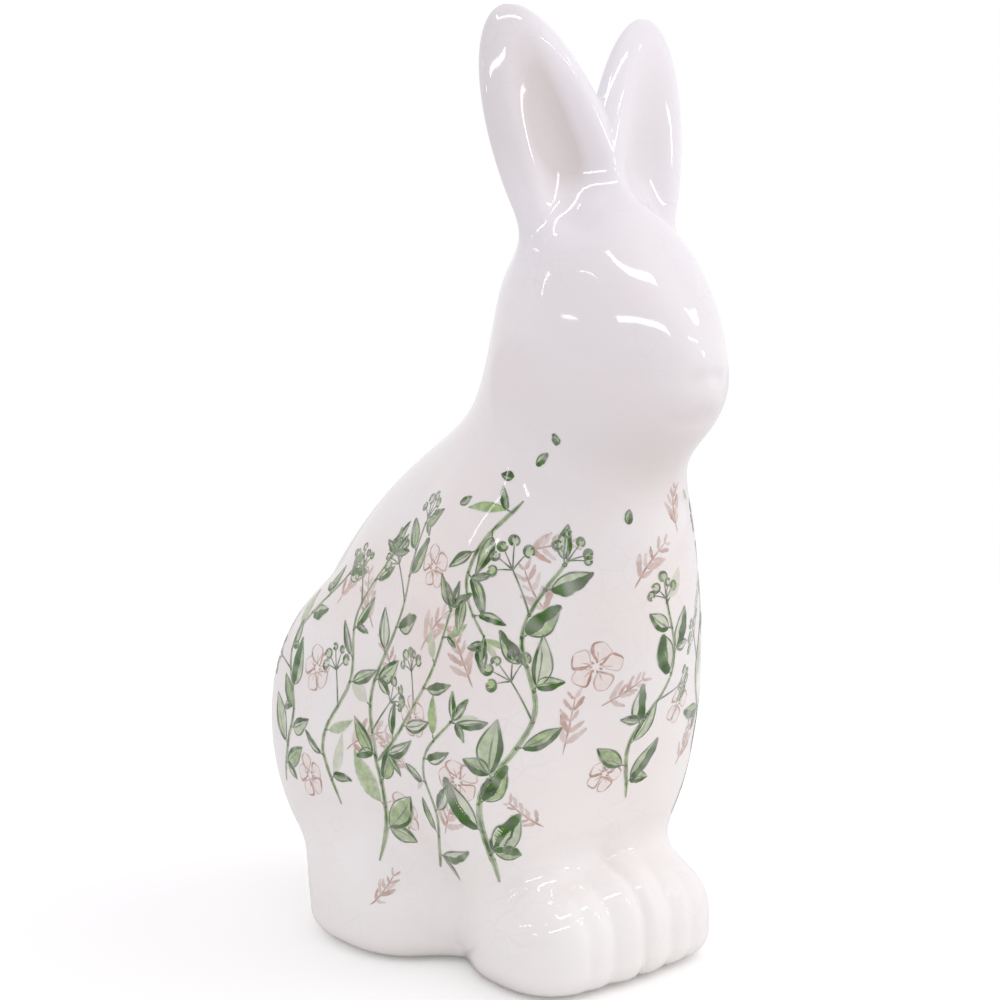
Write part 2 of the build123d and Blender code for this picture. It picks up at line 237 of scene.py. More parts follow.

# %% [markdown]
# ## Relief from the mould
# The mould carries a little more than the masses: a soft fill with a narrow gap between the
# paws, two creases that part the toes of each paw, a fill before each hind foot, a nose with two
# nostrils, the line of the mouth, a shallow socket for each eye, a brow over it, and a dip where
# the outer lip of each ear runs out on the head. Each is a bell-shaped dip or rise, so nothing
# has a hard edge, and the shade painted into the glaze's colour in hollows follows it softly.

# %% Relief
PAW_FRONT = (60, 70)
PAW_TOP = (27, 36)
PAW_FILL = 2.6
PAW_GAP = 1.2
TOE_FOOT = (1, 8)
TOE_TOP = (22, 33)
TOE_CREASE = 0.65
WRIST_DIP = 1.1
MOUTH_DEPTH = 0.28
MOUTH_HEIGHT = 164.6
MOUTH_CURVE = 0.02
# name: rise, middle, widths, and how softly the two sides meet in the middle plane
MOUNDS = {
    "fill before the hind foot": (3.0, (33.5, -29.0, 9.0), (7, 10, 16), 0),
    "crease over the nose": (-0.6, (0, -101, 177.5), (5, 9, 2.6), 0),
    "nostril": (-0.55, (5.0, -101, 176.6), (3.6, 9, 3.4), 0),
    "middle of the mouth": (-0.6, (1.5, -100, 167.0), (4.6, 9, 2.8), 0),
    "eye socket": (-0.3, (16.6, -93, 181.5), (6, 9, 5), 0),
    "brow": (1.7, (11.0, -90.0, 199.0), (14, 20, 14.5), 2.0),
    "dip at the lip of the ear": (-2.2, (19.5, -67.0, 221.0), (7.5, 9, 9.0), 0),
}


def bell(distance, width):
    """A smooth bump: e to the minus square of distance over width."""
    return np.exp(-((distance / width) ** 2))


def ramp(value, start, end):
    """Nought before the start, one after the end, and a smooth s-curve between them."""
    share = np.clip((value - start) / (end - start), 0, 1)
    return share * share * (3 - 2 * share)


def mound(points, middle, widths):
    """A bell in all three directions: the product of the three bells."""
    return math.prod(bell(part - at, width) for part, at, width in zip(points, middle, widths))


def relief(points):
    """Rise of the surface in millimetres, negative in creases: the mounds, and the bands of the
    paws, toes, wrists and mouth, each a bell across times the ramps that end it."""
    x, y, z = np.moveaxis(points, -1, 0)
    side = np.abs(x)
    front = ramp(-y, *PAW_FRONT)
    paws = front * (1 - ramp(z, *PAW_TOP))
    rise = PAW_FILL * bell(x, 7.5) * paws - PAW_GAP * bell(x, 3.0) * paws * ramp(z, 0, 6)
    toes = front * ramp(z, *TOE_FOOT) * (1 - ramp(z, *TOE_TOP))
    rise -= TOE_CREASE * (bell(side - 11.5, 2.6) + 0.8 * bell(side - 20.5, 2.6)) * toes
    rise -= WRIST_DIP * front * bell(z - 28, 7) * (1 - bell(x, 9))
    mouth = bell(z - MOUTH_HEIGHT - MOUTH_CURVE * side * side, 2.2)
    rise -= MOUTH_DEPTH * mouth * (1 - ramp(side, 7, 14)) * ramp(-y, 88, 93)
    for height, middle, widths, softness in MOUNDS.values():
        rise += height * mound((np.hypot(x, softness), y, z), middle, widths)
    return rise


def fired_gap(points):
    """The clay form less its relief: the surface that the glaze lies on."""
    return clay_gap(points) - relief(points)


print(len(MOUNDS), "kinds of mound and dip besides the bands of the paws, toes and mouth")

# %% [markdown]
# ## From points to a mesh
# Each surface is a grid of rows, so its faces follow from the row and column counts alone. The
# normals come from the slope of the gap, not from the faces: a mirror-like glaze shows every
# facet, and true normals also carry the reflections over the seam between body and ears.

# %% Mesh from rows
def ring_faces(rows, columns):
    """Quads between each row of a closed ring grid and the next: corner (row, column), the next
    column, and the same two on the next row."""
    row = np.arange(rows - 1)[:, None] * columns
    here = np.arange(columns)[None, :]
    there = (here + 1) % columns
    quads = np.stack([row + here, row + there, row + columns + there, row + columns + here], axis=-1)
    return quads.reshape(-1, 4)


def fan(start, columns, pole):
    """Triangles from each point of the closed row that begins at start to the next and the pole."""
    here = np.arange(columns)
    there = (here + 1) % columns
    return np.stack([start + here, start + there, np.full(columns, pole)], axis=1)


def new_piece(name, points, faces, normals=None, smooth=None):
    """A mesh object from points in millimetres and arrays of faces. Where a normal is given for
    a point, the smooth faces around it take it; a zero leaves the mesh's own."""
    mesh = bpy.data.meshes.new(name)
    mesh.vertices.add(len(points))
    mesh.vertices.foreach_set("co", placed(points).ravel())
    corners = np.concatenate([part.ravel() for part in faces])
    sizes = np.concatenate([np.full(len(part), part.shape[1]) for part in faces])
    starts = np.concatenate([[0], np.cumsum(sizes)[:-1]])
    mesh.loops.add(len(corners))
    mesh.loops.foreach_set("vertex_index", corners)
    mesh.polygons.add(len(sizes))
    mesh.polygons.foreach_set("loop_start", starts)
    smooth = np.ones(len(sizes), dtype=bool) if smooth is None else smooth
    mesh.polygons.foreach_set("use_smooth", smooth)
    mesh.update(calc_edges=True)
    if normals is not None:
        given = normals[corners] * np.repeat(smooth, sizes)[:, None]
        mesh.normals_split_custom_set(given.tolist())
    piece = bpy.data.objects.new(name, mesh)
    bpy.context.scene.collection.objects.link(piece)
    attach(piece, "root")
    triangles = int((sizes - 2).sum())
    print(name, len(points), "points,", triangles, "triangles")
    return piece


def store(piece, name, values):
    """Writes one number per point to the mesh."""
    layer = piece.data.attributes.new(name, "FLOAT", "POINT")
    layer.data.foreach_set("value", values.astype(np.float32))


# %% [markdown]
# ## The body casting
# The body is round about an upright line inside it, so each point has two parameters: a turn
# about that line and a height. A level ray leaves the line and the farthest place where the gap
# is nought is the surface. Rows are closer at the paws, the face and the crown, and columns are
# closer in front, where the toes and the mouth need them.

# %% Rays from the inner line
SEAT = 222.0
LINE_HEIGHTS = SEAT * np.array([0.0, 0.27, 0.54, 0.72, 0.9])
LINE_AFTS = -60.0 * np.array([0.23, 0.13, 0.37, 0.73, 0.9])
REACH = 110.0
STRIDE = 2.0
HALVINGS = 22
CROWDING = 0.45


def line_aft(height):
    """Where the inner line lies at a height."""
    return np.interp(height, LINE_HEIGHTS, LINE_AFTS)


def column_turns(count):
    """Angles of the columns: even steps, drawn together in front by a sine of the angle."""
    even = np.linspace(-1, 1, count, endpoint=False)
    return math.radians(-90) + math.pi * (even - CROWDING * np.sin(math.pi * even) / math.pi)


def level_rows(gap, level, heights, turns):
    """For heights and turns, the farthest point of a level ray from the inner line at which the
    gap equals the level: coarse steps inwards find it and halving closes in."""
    z, turn = np.broadcast_arrays(heights, turns)
    aft = line_aft(z)
    ray = np.stack([np.cos(turn), np.sin(turn)])

    def at(radius):
        return np.stack([radius * ray[0], aft + radius * ray[1], z], axis=-1)

    inner = np.zeros(z.shape)
    found = np.zeros(z.shape, dtype=bool)
    for radius in np.arange(REACH, 0, -STRIDE):
        inside = (gap(at(radius)) <= level) & ~found
        inner = np.where(inside, radius, inner)
        found |= inside
    outer = inner + STRIDE
    for _ in range(HALVINGS):
        middle = (inner + outer) / 2
        inside = gap(at(middle)) <= level
        inner = np.where(inside, middle, inner)
        outer = np.where(inside, outer, middle)
    return at(inner)


# %% Rows of the skin
COLUMNS = 380
FOOT_EDGE = 7.0
UP = np.array([0, 0, 1])
# from, to and distance of the rows
ZONES = [
    (FOOT_EDGE, 48.0, 0.85),
    (48.0, 150.0, 1.55),
    (150.0, 192.0, 0.95),
    (192.0, 212.0, 1.2),
    (212.0, SEAT, 0.5),
]
turns = column_turns(COLUMNS)
ray_out = np.stack([np.cos(turns), np.sin(turns), np.zeros(COLUMNS)], axis=1)
bands = [np.linspace(low, high, round((high - low) / step), endpoint=False) for low, high, step in ZONES]
heights = np.append(np.concatenate(bands), SEAT)
skin = level_rows(fired_gap, 0.0, heights[:, None], turns[None, :])
skin_normals = outward(fired_gap, skin)
print("skin rows", skin.shape, "widest", np.ptp(skin[..., 0]).round(2), "mm")

# %% Rows of the foot and the cavity
# the rounded foot, the rebate and hole for the disc, and the wall's inside
WALL = 5.0
FLOOR = 6.0
FLOOR_CORNER = 11.0
REBATE_RADIUS = 20
REBATE_DEPTH = 3
HOLE_RADIUS = 17
CAVITY_FOOT = 26.0
CAVITY_TOP = 213.0
foot_out = skin_normals[0] * np.array([1, 1, 0])
foot_out = foot_out / np.linalg.norm(foot_out, axis=1, keepdims=True)
bend = np.radians(np.linspace(90, 0, 9)[1:])[:, None, None]
edge = skin[0] - ray_out * FOOT_EDGE * (1 - np.sin(bend)) - UP * FOOT_EDGE * np.cos(bend)
edge_normals = foot_out * np.sin(bend) - UP * np.cos(bend)


def circle_row(radius, height):
    """A row on a circle about the drain hole's middle."""
    return ray_out * radius + np.array([0, DISC_AFT, height])


cavity_heights = np.linspace(CAVITY_FOOT, CAVITY_TOP, 12)
hollow = level_rows(torso_gap, -WALL, cavity_heights[:, None], turns[None, :])
hollow_foot = hollow[0] - ray_out * FLOOR_CORNER
hollow_foot[:, 2] = FLOOR
under = [
    circle_row(REBATE_RADIUS, 0),
    circle_row(REBATE_RADIUS, REBATE_DEPTH),
    circle_row(HOLE_RADIUS, REBATE_DEPTH),
    circle_row(HOLE_RADIUS, FLOOR),
    hollow_foot,
]
print("rows in the rounded foot", len(edge), "under it", len(under), "in the cavity", len(hollow))

# %% Mesh of the body
rows = np.concatenate([skin[::-1], edge, np.stack(under), hollow])
row_normals = np.zeros_like(rows)
outside_rows = len(skin) + len(edge)
row_normals[:outside_rows] = np.concatenate([skin_normals[::-1], edge_normals])
pole = len(rows) * COLUMNS
poles = [[0, line_aft(height), height] for height in (SEAT, CAVITY_TOP)]
quads = ring_faces(len(rows), COLUMNS)[:, ::-1]
top_fan = fan(0, COLUMNS, pole)
inner_fan = fan(pole - COLUMNS, COLUMNS, pole + 1)[:, ::-1]
body_points = np.concatenate([rows.reshape(-1, 3), poles])
body_normals = np.concatenate([row_normals.reshape(-1, 3), np.zeros((2, 3))])
smooth = np.arange(len(quads) + 2 * COLUMNS) < (outside_rows - 1) * COLUMNS
body = new_piece("glazed_body", body_points, [quads, top_fan, inner_fan], body_normals, smooth)
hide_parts("body_casting")

# %% [markdown]
# ## The ears
# A leaf this thin can't be cut by rays from one line, because its hollow face turns back on
# itself. Each level cut of the plain leaf is an exact ellipse, though, so the points start on
# that ellipse and slide in their own plane down the slope until they lie on the clay. The two
# ears meet in the middle plane, where the points are held.

# %% Rings of the left ear
EAR_COLUMNS = 240
EAR_ROWS = 130
LAST_RING = 0.9925
EAR_TIP = 0.996
RING_CROWDING = 1.9


def ear_rings():
    """Ring heights crowd at the head, where the clay lies flattest. With e the leaf's axes times
    their half sizes and h the height share, a ring is the middle plus h times the highest point
    plus the root of 1 - h squared times a circle square to it."""
    spread = EAR_AXES * EAR_SIZES[:, None]
    rise = np.linalg.norm(spread[:, 2])
    lowest = np.arcsin((SEAT - EAR_MIDDLE[2]) / rise)
    highest = np.arcsin(LAST_RING)
    along = np.linspace(0, 1, EAR_ROWS) ** RING_CROWDING
    share = np.sin(lowest + (highest - lowest) * along)[:, None, None]
    upward = spread[:, 2] / rise
    first = np.array([1.0, 0, 0]) - upward * upward[0]
    first = first / np.linalg.norm(first)
    second = np.cross(upward, first)
    turn = np.linspace(0, 2 * math.pi, EAR_COLUMNS, endpoint=False)
    circle = np.outer(np.cos(turn), first @ spread) + np.outer(np.sin(turn), second @ spread)
    tip = EAR_MIDDLE + EAR_TIP * (upward @ spread)
    return EAR_MIDDLE + share * (upward @ spread) + np.sqrt(1 - share**2) * circle, tip


def lone_ear_gap(points):
    """Head and left ear alone, so that the leaf closes past the middle plane."""
    return melted(torso_gap(points), ear_gap(points), EAR_MELT)


def slid(points, gap, rounds, most):
    """Slides points in their level planes down the slope of the gap, no further than the most."""
    for _ in range(rounds):
        rise = slope(gap, points) * np.array([1, 1, 0])
        steepness = (rise * rise).sum(axis=-1, keepdims=True) + 1e-9
        points = points - rise * np.clip(gap(points)[..., None] / steepness, -most, most)
    return points


rings, ear_tip = ear_rings()
rings = slid(rings, lone_ear_gap, 14, 5.0)
own_side = rings[..., 0] > 0
rings = np.where(own_side[..., None], slid(rings, fired_gap, 8, 1.0), rings)
own_side = rings[..., 0] > 0

# %% The valley between the ears
# In the middle plane the ring is closed by a straight line from the front of the valley to its
# back. Both ends are found on the clay by sliding along the plane, and no held point lies past
# them.
MOST_SLIDE = 3
crossing = ~own_side & (np.roll(own_side, 1, axis=1) | np.roll(own_side, -1, axis=1))
flat = rings * np.array([0, 1, 1])


def slid_along(points, gap, rounds, step=0.02):
    """Slides points fore and aft only, by the gap over its slope in that direction."""
    ahead = np.array([0, step, 0])
    for _ in range(rounds):
        rise = (gap(points + ahead) - gap(points - ahead)) / (2 * step)
        rise = np.where(np.abs(rise) < 0.05, 0.05 * np.sign(rise + 1e-9), rise)
        points = points - np.clip(gap(points) / rise, -2, 2)[..., None] * np.array([0, 1, 0])
    return points


valley = slid_along(flat, fired_gap, 12)
near = np.abs(valley - flat).max(axis=-1) < MOST_SLIDE
rings = np.where(own_side[..., None], rings, flat)
rings = np.where((crossing & near)[..., None], valley, rings)
foremost = np.where(crossing, rings[..., 1], np.inf).min(axis=1, keepdims=True)
hindmost = np.where(crossing, rings[..., 1], -np.inf).max(axis=1, keepdims=True)
rings[..., 1] = np.where(own_side, rings[..., 1], np.clip(rings[..., 1], foremost, hindmost))
held = ~own_side.ravel()
print("ear rings", rings.shape, "tip", ear_tip.round(2), "points held:", int(held.sum()))

# %% Mesh of the ears
ear_pole = EAR_ROWS * EAR_COLUMNS
ear_points = np.concatenate([rings.reshape(-1, 3), [ear_tip, rings[0].mean(axis=0)]])
ear_normals = np.concatenate([outward(fired_gap, ear_points[:-1]), [[0, 0, 0]]])
ear_quads = ring_faces(EAR_ROWS, EAR_COLUMNS)
tip_fan = fan(ear_pole - EAR_COLUMNS, EAR_COLUMNS, ear_pole)
seat_fan = fan(0, EAR_COLUMNS, ear_pole + 1)[:, ::-1]
ear_faces = [ear_quads, tip_fan, seat_fan]
left_faces = [part[:, ::-1] for part in ear_faces]
outside = [~held[ear_quads].all(axis=1), np.ones(EAR_COLUMNS, bool), np.zeros(EAR_COLUMNS, bool)]
outside = np.concatenate(outside)
left_ear = new_piece("glazed_left_ear", ear_points, left_faces, ear_normals, outside)
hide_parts("left_ear")
flip = np.array([-1, 1, 1])
right_ear = new_piece("glazed_right_ear", ear_points * flip, ear_faces, ear_normals * flip, outside)
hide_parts("right_ear")

# %% [markdown]
# ## The tail
# The tail is an egg-shaped blob, pressed on with slip while both clays are damp, and the slip
# is wiped into a soft fillet. So its gap is melted with the body's, and a grid that starts as an
# egg with a skirt settles on the melted gap. The skirt dips just under the body's skin.

# %% Tail
TAIL_HEIGHT = 34.0
TAIL_RADIUS = 14.0
TAIL_HALF_LENGTH = 12.0
TAIL_SINK = 6.0
TAIL_MELT = 5.0
back_point = level_rows(fired_gap, 0.0, np.array([TAIL_HEIGHT]), np.radians([90.0]))[0]
tail_middle = back_point + np.array([0, TAIL_HALF_LENGTH - TAIL_SINK, 0])


def tail_gap(points):
    """Egg and torso melted together."""
    x, y, z = np.moveaxis(points - tail_middle, -1, 0)
    egg = egg_gap(x, y, z, (TAIL_RADIUS, TAIL_HALF_LENGTH, TAIL_RADIUS))
    return melted(fired_gap(points), egg, TAIL_MELT)


def settled(points, gap, lift, rounds=8, most=2.0):
    """Moves points along the slope of the gap until they lie the lift above it."""
    for _ in range(rounds):
        rise = slope(gap, points)
        steepness = (rise * rise).sum(axis=-1)
        move = np.clip((gap(points) - lift) / steepness, -most, most)
        points = points - rise * move[..., None]
    return points


# %% Rows of the tail
TAIL_COLUMNS = 96
TAIL_TURNS = np.linspace(0, 2 * math.pi, TAIL_COLUMNS, endpoint=False)
TAIL_BENDS = np.radians(np.linspace(90, 0, 25))[1:-1]
SKIRT_LIFT = 0.03
SKIRT_DIP = 0.38
egg_rows = [(TAIL_RADIUS * math.cos(b), TAIL_HALF_LENGTH * math.sin(b)) for b in TAIL_BENDS]
wall_rows = [(TAIL_RADIUS + 0.3 * i, -1.3 * i) for i in range(4)]
skirt_rows = [(TAIL_RADIUS + 1.2 + 0.6 * i, -4.6 - 0.15 * i) for i in range(9)]
profile = np.array(egg_rows + wall_rows + skirt_rows)
across = profile[:, :1] * np.cos(TAIL_TURNS)
upward = profile[:, :1] * np.sin(TAIL_TURNS)
backward = np.broadcast_to(profile[:, 1:], across.shape)
tail_rows = np.stack([across, backward, upward], axis=-1) + tail_middle
walls_from = len(egg_rows)
skirt_from = walls_from + len(wall_rows)
tail_rows[skirt_from:] = slid_along(tail_rows[skirt_from:], fired_gap, 12)
walls = np.linspace(0, 1, len(wall_rows) + 2)[1:-1, None, None]
widest = tail_rows[walls_from - 1] * (1 - walls)
tail_rows[walls_from:skirt_from] = widest + tail_rows[skirt_from] * walls
skirt_share = (np.arange(len(profile)) - skirt_from) / (len(profile) - 1 - skirt_from)
skirt_share = np.clip(skirt_share, 0, 1)
lifts = (SKIRT_LIFT * np.sqrt(skirt_share) - SKIRT_DIP * (skirt_share == 1))[:, None]
tail_rows = settled(tail_rows, tail_gap, lifts)
print("tail rows", tail_rows.shape, "of which the skirt's", len(skirt_rows))

# %% Mesh of the tail
tail_pole = len(profile) * TAIL_COLUMNS
tail_tip = settled((tail_middle + [0, TAIL_HALF_LENGTH, 0])[None, :], tail_gap, 0.0)
tail_root = tail_rows[-1].mean(axis=0) - [0, 4, 0]
tail_points = np.concatenate([tail_rows.reshape(-1, 3), tail_tip, [tail_root]])
tail_normals = outward(tail_gap, tail_rows).reshape(-1, 3)
tail_normals = np.concatenate([tail_normals, [[0, 1, 0]], [[0, 0, 0]]])
tail_quads = ring_faces(len(profile), TAIL_COLUMNS)
tail_faces = [
    tail_quads,
    fan(0, TAIL_COLUMNS, tail_pole)[:, ::-1],
    fan(tail_pole - TAIL_COLUMNS, TAIL_COLUMNS, tail_pole + 1),
]
outside = np.arange(len(tail_quads) + 2 * TAIL_COLUMNS) < len(tail_quads) + TAIL_COLUMNS
tail = new_piece("glazed_tail", tail_points, tail_faces, tail_normals, outside)
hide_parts("tail")

# %% [markdown]
# ## The printed pattern
# On the real ornament a flower print lies under the clear glaze: green brush drawing with pale
# leaf washes, and fainter rose drawing behind it. It could be painted on an image, but brush
# marks laid on the skin as thin ribbons stay sharp at any size. This pattern is a plain one of
# our own: arching sprays with rounded leaves, berry twigs, open five-petalled blossoms and fern
# sprigs. Every mark is a middle line with a half width along it, laid on the surface.

# %% Places on the skin
STEPS = 18
steady = np.random.default_rng(21)


def on_skin(turn_degrees, height):
    """The skin's point at a turn from straight ahead, positive to the rabbit's left."""
    turn = np.radians(np.asarray(turn_degrees, dtype=float) - 90)
    return level_rows(fired_gap, 0.0, np.asarray(height, dtype=float), turn)


def flowing(keys, count):
    """A smooth line through key points: on each span the cubic whose slope at a key is half the
    step between its neighbours."""
    keys = np.array(keys, dtype=float)
    padded = np.vstack([2 * keys[0] - keys[1], keys, 2 * keys[-1] - keys[-2]])
    place = np.linspace(0, len(keys) - 1, count)
    span = np.minimum(place.astype(int), len(keys) - 2)
    t = (place - span)[:, None]
    a, b, c, d = (padded[span + i] for i in range(4))
    bends = (2 * a - 5 * b + 4 * c - d) * t**2 + (3 * b - a - 3 * c + d) * t**3
    return 0.5 * (2 * b + (c - a) * t + bends)


def laid_spot(point, direction):
    """A spot to draw from: a point of the skin, the direction laid in the skin and the unit
    vector square to it."""
    normal = outward(fired_gap, point[None, :])[0]
    ahead = direction - normal * (direction @ normal)
    ahead = ahead / np.linalg.norm(ahead)
    return point, ahead, np.cross(normal, ahead)


def spot_at(turn, height, direction=(0.0, 0.0, 1.0)):
    """The spot at a turn and a height, looking up the skin unless told otherwise."""
    return laid_spot(on_skin([turn], [height])[0], np.array(direction))


print("straight ahead at 100 mm the skin lies at", on_skin([0], [100])[0].round(2))

# %% Brush marks
marks = {"green_line": [], "green_wash": [], "rose_line": [], "rose_wash": []}
along = np.linspace(0, 1, STEPS)


def mark(layer, line, half_width, ink):
    """Keeps one mark: its middle line in space, its half widths and how much ink it holds."""
    marks[layer].append((line, np.broadcast_to(half_width, STEPS), np.broadcast_to(ink, STEPS)))


def drawn(spot, x, y):
    """A flat drawing's points, x ahead and y to the side of a spot (point, ahead, side)."""
    point, ahead, side = spot
    return point + np.outer(x, ahead) + np.outer(y, side)


def turned(spot, degrees, forward=0.0):
    """A spot turned in its own plane, then moved a step in the new direction."""
    point, ahead, side = spot
    angle = math.radians(degrees)
    new_ahead = math.cos(angle) * ahead + math.sin(angle) * side
    new_side = math.cos(angle) * side - math.sin(angle) * ahead
    return point + new_ahead * forward, new_ahead, new_side


def wander(amount):
    """A slow wave round nought along a mark: two sines of random pace and phase, which is how a
    hand and a brush are never quite even."""
    pace = steady.uniform(0.5, 1.5) * math.pi
    start = steady.uniform(0, 2 * math.pi, 2)
    return amount * (np.sin(2 * pace * along + start[0]) + 0.6 * np.sin(5 * pace * along + start[1]))


def stroke(colour, spot, x, y, half_width, ink=1.0):
    """One pull of a pointed brush: the width is a sine of a half turn to the 0.55, thin where it
    lands and lifts, and the ink runs out by a quarter along it."""
    swell = np.sin(math.pi * np.minimum(along**0.8, 1)) ** 0.55
    width = half_width * (0.2 + 0.8 * swell) * (1 + wander(0.16))
    fade = ink * np.clip(1.15 - 0.3 * along + wander(0.15), 0.3, 1)
    mark(colour + "_line", drawn(spot, x, y + wander(0.05)), np.maximum(width, 0.05), fade)


def dab(colour, spot, length, width, bend, ink=1.0):
    """One press of a full brush: a single fat mark on a line that bends with its square."""
    stroke(colour, spot, length * along, bend * along**2, width, ink)


# %% Green motifs
WASH_ONLY = 0.18
FAT_STROKE = 0.5
LONG_TWIG = 7


def leaf(spot, length, width, bend):
    """A leaf: the half breadth is the width times the sine of a half turn of u to a power near
    0.8, on a middle line that bends with the square of u. A wash fills it. Some leaves have no
    more, some have one fat stroke and a thin edge, and the rest two edges and a vein."""
    x = length * along
    y = bend * along**2
    breadth = width * np.sin(math.pi * along ** steady.uniform(0.7, 0.95)) * (1 - 0.15 * along)
    shade = steady.choice([-1, 1])
    kind = steady.uniform()
    mark("green_wash", drawn(spot, x + 0.1, y), 0.97 * breadth + 0.05, steady.uniform(0.35, 1))
    if kind < WASH_ONLY:
        return
    if kind < FAT_STROKE:
        stroke("green", spot, x, y + shade * 0.38 * breadth, 0.62 * width)
        stroke("green", spot, x, y - shade * breadth, 0.3, 0.9)
        return
    stroke("green", spot, x, y + shade * 0.7 * breadth, steady.uniform(0.55, 1.0))
    stroke("green", spot, x, y - shade * breadth, steady.uniform(0.24, 0.4), 0.9)
    stroke("green", spot, 0.8 * x, 0.8 * y + 0.1, 0.28, 0.8)


def berry(spot, radius):
    """A ring not quite closed that is fat on one side, a pale filling and a short calyx."""
    turn = steady.uniform(0, 6) + 5.6 * along
    ring = radius * (1 + 0.07 * np.sin(2 * turn))
    fat = 0.3 + 0.45 * np.clip(np.sin(turn), 0, 1) * steady.uniform(0.4, 1)
    line = drawn(spot, radius + ring * np.cos(turn), ring * np.sin(turn))
    mark("green_line", line, fat, 0.85 + wander(0.1))
    chord = radius * np.sqrt(np.maximum(1 - (2 * along - 1) ** 2, 0)) + 0.02
    filling = drawn(spot, 2 * radius * along, 0 * along)
    mark("green_wash", filling, 0.9 * chord, steady.uniform(0.4, 1))
    stroke("green", spot, radius * (1.4 + 0.8 * along), 0.1 * along, 0.24)


def twig(spot, length, bend, half_width):
    """A short side stalk and the spot at its end, laid in the skin again where it is long."""
    line = drawn(spot, length * along, bend * along**2)
    mark("green_line", line, half_width * (1 - 0.4 * along), 0.85 + wander(0.1))
    _, ahead, side = turned(spot, math.degrees(math.atan2(2 * bend, length)))
    if length < LONG_TWIG:
        return line[-1], ahead, side
    return laid_spot(line[-1], ahead)


def berry_head(spot, reach):
    """Five stalks that fan out from one place, each with a berry."""
    for share in np.linspace(-1, 1, 5):
        stalk = turned(spot, 52 * share + steady.uniform(-8, 8))
        length = reach * (1 - 0.25 * abs(share)) * steady.uniform(0.75, 1.15)
        berry(twig(stalk, length, 0.6 * share, 0.24), steady.uniform(0.9, 1.6))


# %% Rose motifs
PETALS = 5
STAMENS = 7
FERN_PAIRS = 5
FERN_INK = 0.9


def blossom(spot, size):
    """Round petals about a ring of dots: a petal is a leaf shape blunt at its end, drawn by two
    strokes that don't quite meet, with a vein between them."""
    for number in range(PETALS):
        petal = turned(spot, 360 / PETALS * number + steady.uniform(-9, 9), 0.2 * size)
        x = size * steady.uniform(0.68, 0.88) * along
        breadth = steady.uniform(0.34, 0.44) * size * np.sin(math.pi * along**1.35) ** 0.75
        wash = steady.uniform(0.15, 0.6)
        mark("rose_wash", drawn(petal, x, 0 * along), 0.9 * breadth + 0.03, wash)
        wave = 0.06 * size * np.sin(9 * along + number) * along
        stroke("rose", petal, x, breadth + wave, steady.uniform(0.28, 0.5))
        stroke("rose", petal, x, wave - breadth, steady.uniform(0.18, 0.3), 0.7)
        stroke("rose", petal, 0.5 * x, steady.uniform(-0.15, 0.15) * size * along, 0.2, 0.7)
    for number in range(STAMENS):
        dab("rose", turned(spot, 51 * number, 0.14 * size), 1.0, 0.34, 0)


def fern(spot, length):
    """A curved stalk with pairs of single brush dabs that shorten towards the tip."""
    bend = steady.uniform(-0.3, 0.3) * length
    dab("rose", spot, length, 0.3, bend, FERN_INK)
    for share in np.linspace(0.2, 0.95, FERN_PAIRS):
        place = drawn(spot, [length * share], [bend * share**2])[0]
        lean = math.degrees(math.atan2(2 * bend * share, length))
        stalk = turned((place, spot[1], spot[2]), lean)
        for side in (-1, 1):
            reach = length * 0.42 * (1.15 - 0.7 * share) * steady.uniform(0.6, 1.15)
            arm = turned(stalk, side * steady.uniform(30, 62), 0.3)
            ink = FERN_INK * steady.uniform(0.45, 1)
            dab("rose", arm, reach, 0.12 * reach + 0.1, -side * 0.16 * reach, ink)


# %% Sprays
# the range of a leaf's width over its length
LEAF_WIDTHS = {"round": (0.2, 0.3), "narrow": (0.13, 0.19)}
SPANS = 4


def stem(keys, thick):
    """A brush line through places on the skin, in spans that taper, over a slightly wider wash.
    Returns its points."""
    chart = flowing(keys, SPANS * (STEPS - 1) + 1)
    path = on_skin(chart[:, 0], chart[:, 1])
    share = np.linspace(0, 1, len(path))
    widths = thick * (1 - 0.55 * share) * np.minimum(0.3 + 9 * share, 1)
    for start in range(0, len(path) - 1, STEPS - 1):
        span = path[start : start + STEPS]
        width = widths[start : start + STEPS]
        mark("green_wash", span, 1.25 * width + 0.1, 0.9)
        line = span + wander(0.05)[:, None]
        width = 0.62 * width * (1 + wander(0.2))
        mark("green_line", line, width, 0.8 + wander(0.13))
    return path


def spray(keys, leaves, size, heads, kind, thick):
    """A long stem with leaves by turns on either side and berry heads on twigs at some of them.
    Where a leaf leaves, the stem has a dark joint."""
    path = stem(keys, thick)
    stations = np.linspace(6, len(path) - 2, leaves).astype(int)
    for number, place in enumerate(stations):
        direction = path[min(place + 1, len(path) - 1)] - path[place - 1]
        joint = laid_spot(path[place], direction)
        side = 1 if number % 2 else -1
        dab("green", turned(joint, side * 20, -0.6), 1.5, 0.8 * thick, 0)
        if number in heads:
            berry_head(twig(turned(joint, side * 42, 0.2), size * 0.9, side * 1.2, 0.34), size * 0.5)
            continue
        length = size * (1.15 - 0.4 * place / len(path)) * steady.uniform(0.75, 1.2)
        stub = twig(turned(joint, side * steady.uniform(38, 66), 0.2), 1.5, 0, 0.3)
        width = length * steady.uniform(*LEAF_WIDTHS[kind])
        leaf(turned(stub, -side * 8), length, width, -side * steady.uniform(0.05, 0.26) * length)
        if number % 3 == 0:
            leaf(turned(stub, side * 46), 0.55 * length, 0.6 * width, side * 0.1 * length)
    tip = laid_spot(path[-1], path[-1] - path[-3])
    if kind == "round":
        berry_head(tip, size * 0.45)
        return
    for lean in (-34, 3, 38):
        leaf(turned(tip, lean), size * 0.7, size * 0.1, 0.05 * lean * size / 34)


# %% [markdown]
# The pattern covers the body and leaves the head, the ears and the paws bare. The stems are
# given by a few places each, turn in degrees and height in millimetres, so that they follow the
# body round. Rose marks lie behind the green ones.

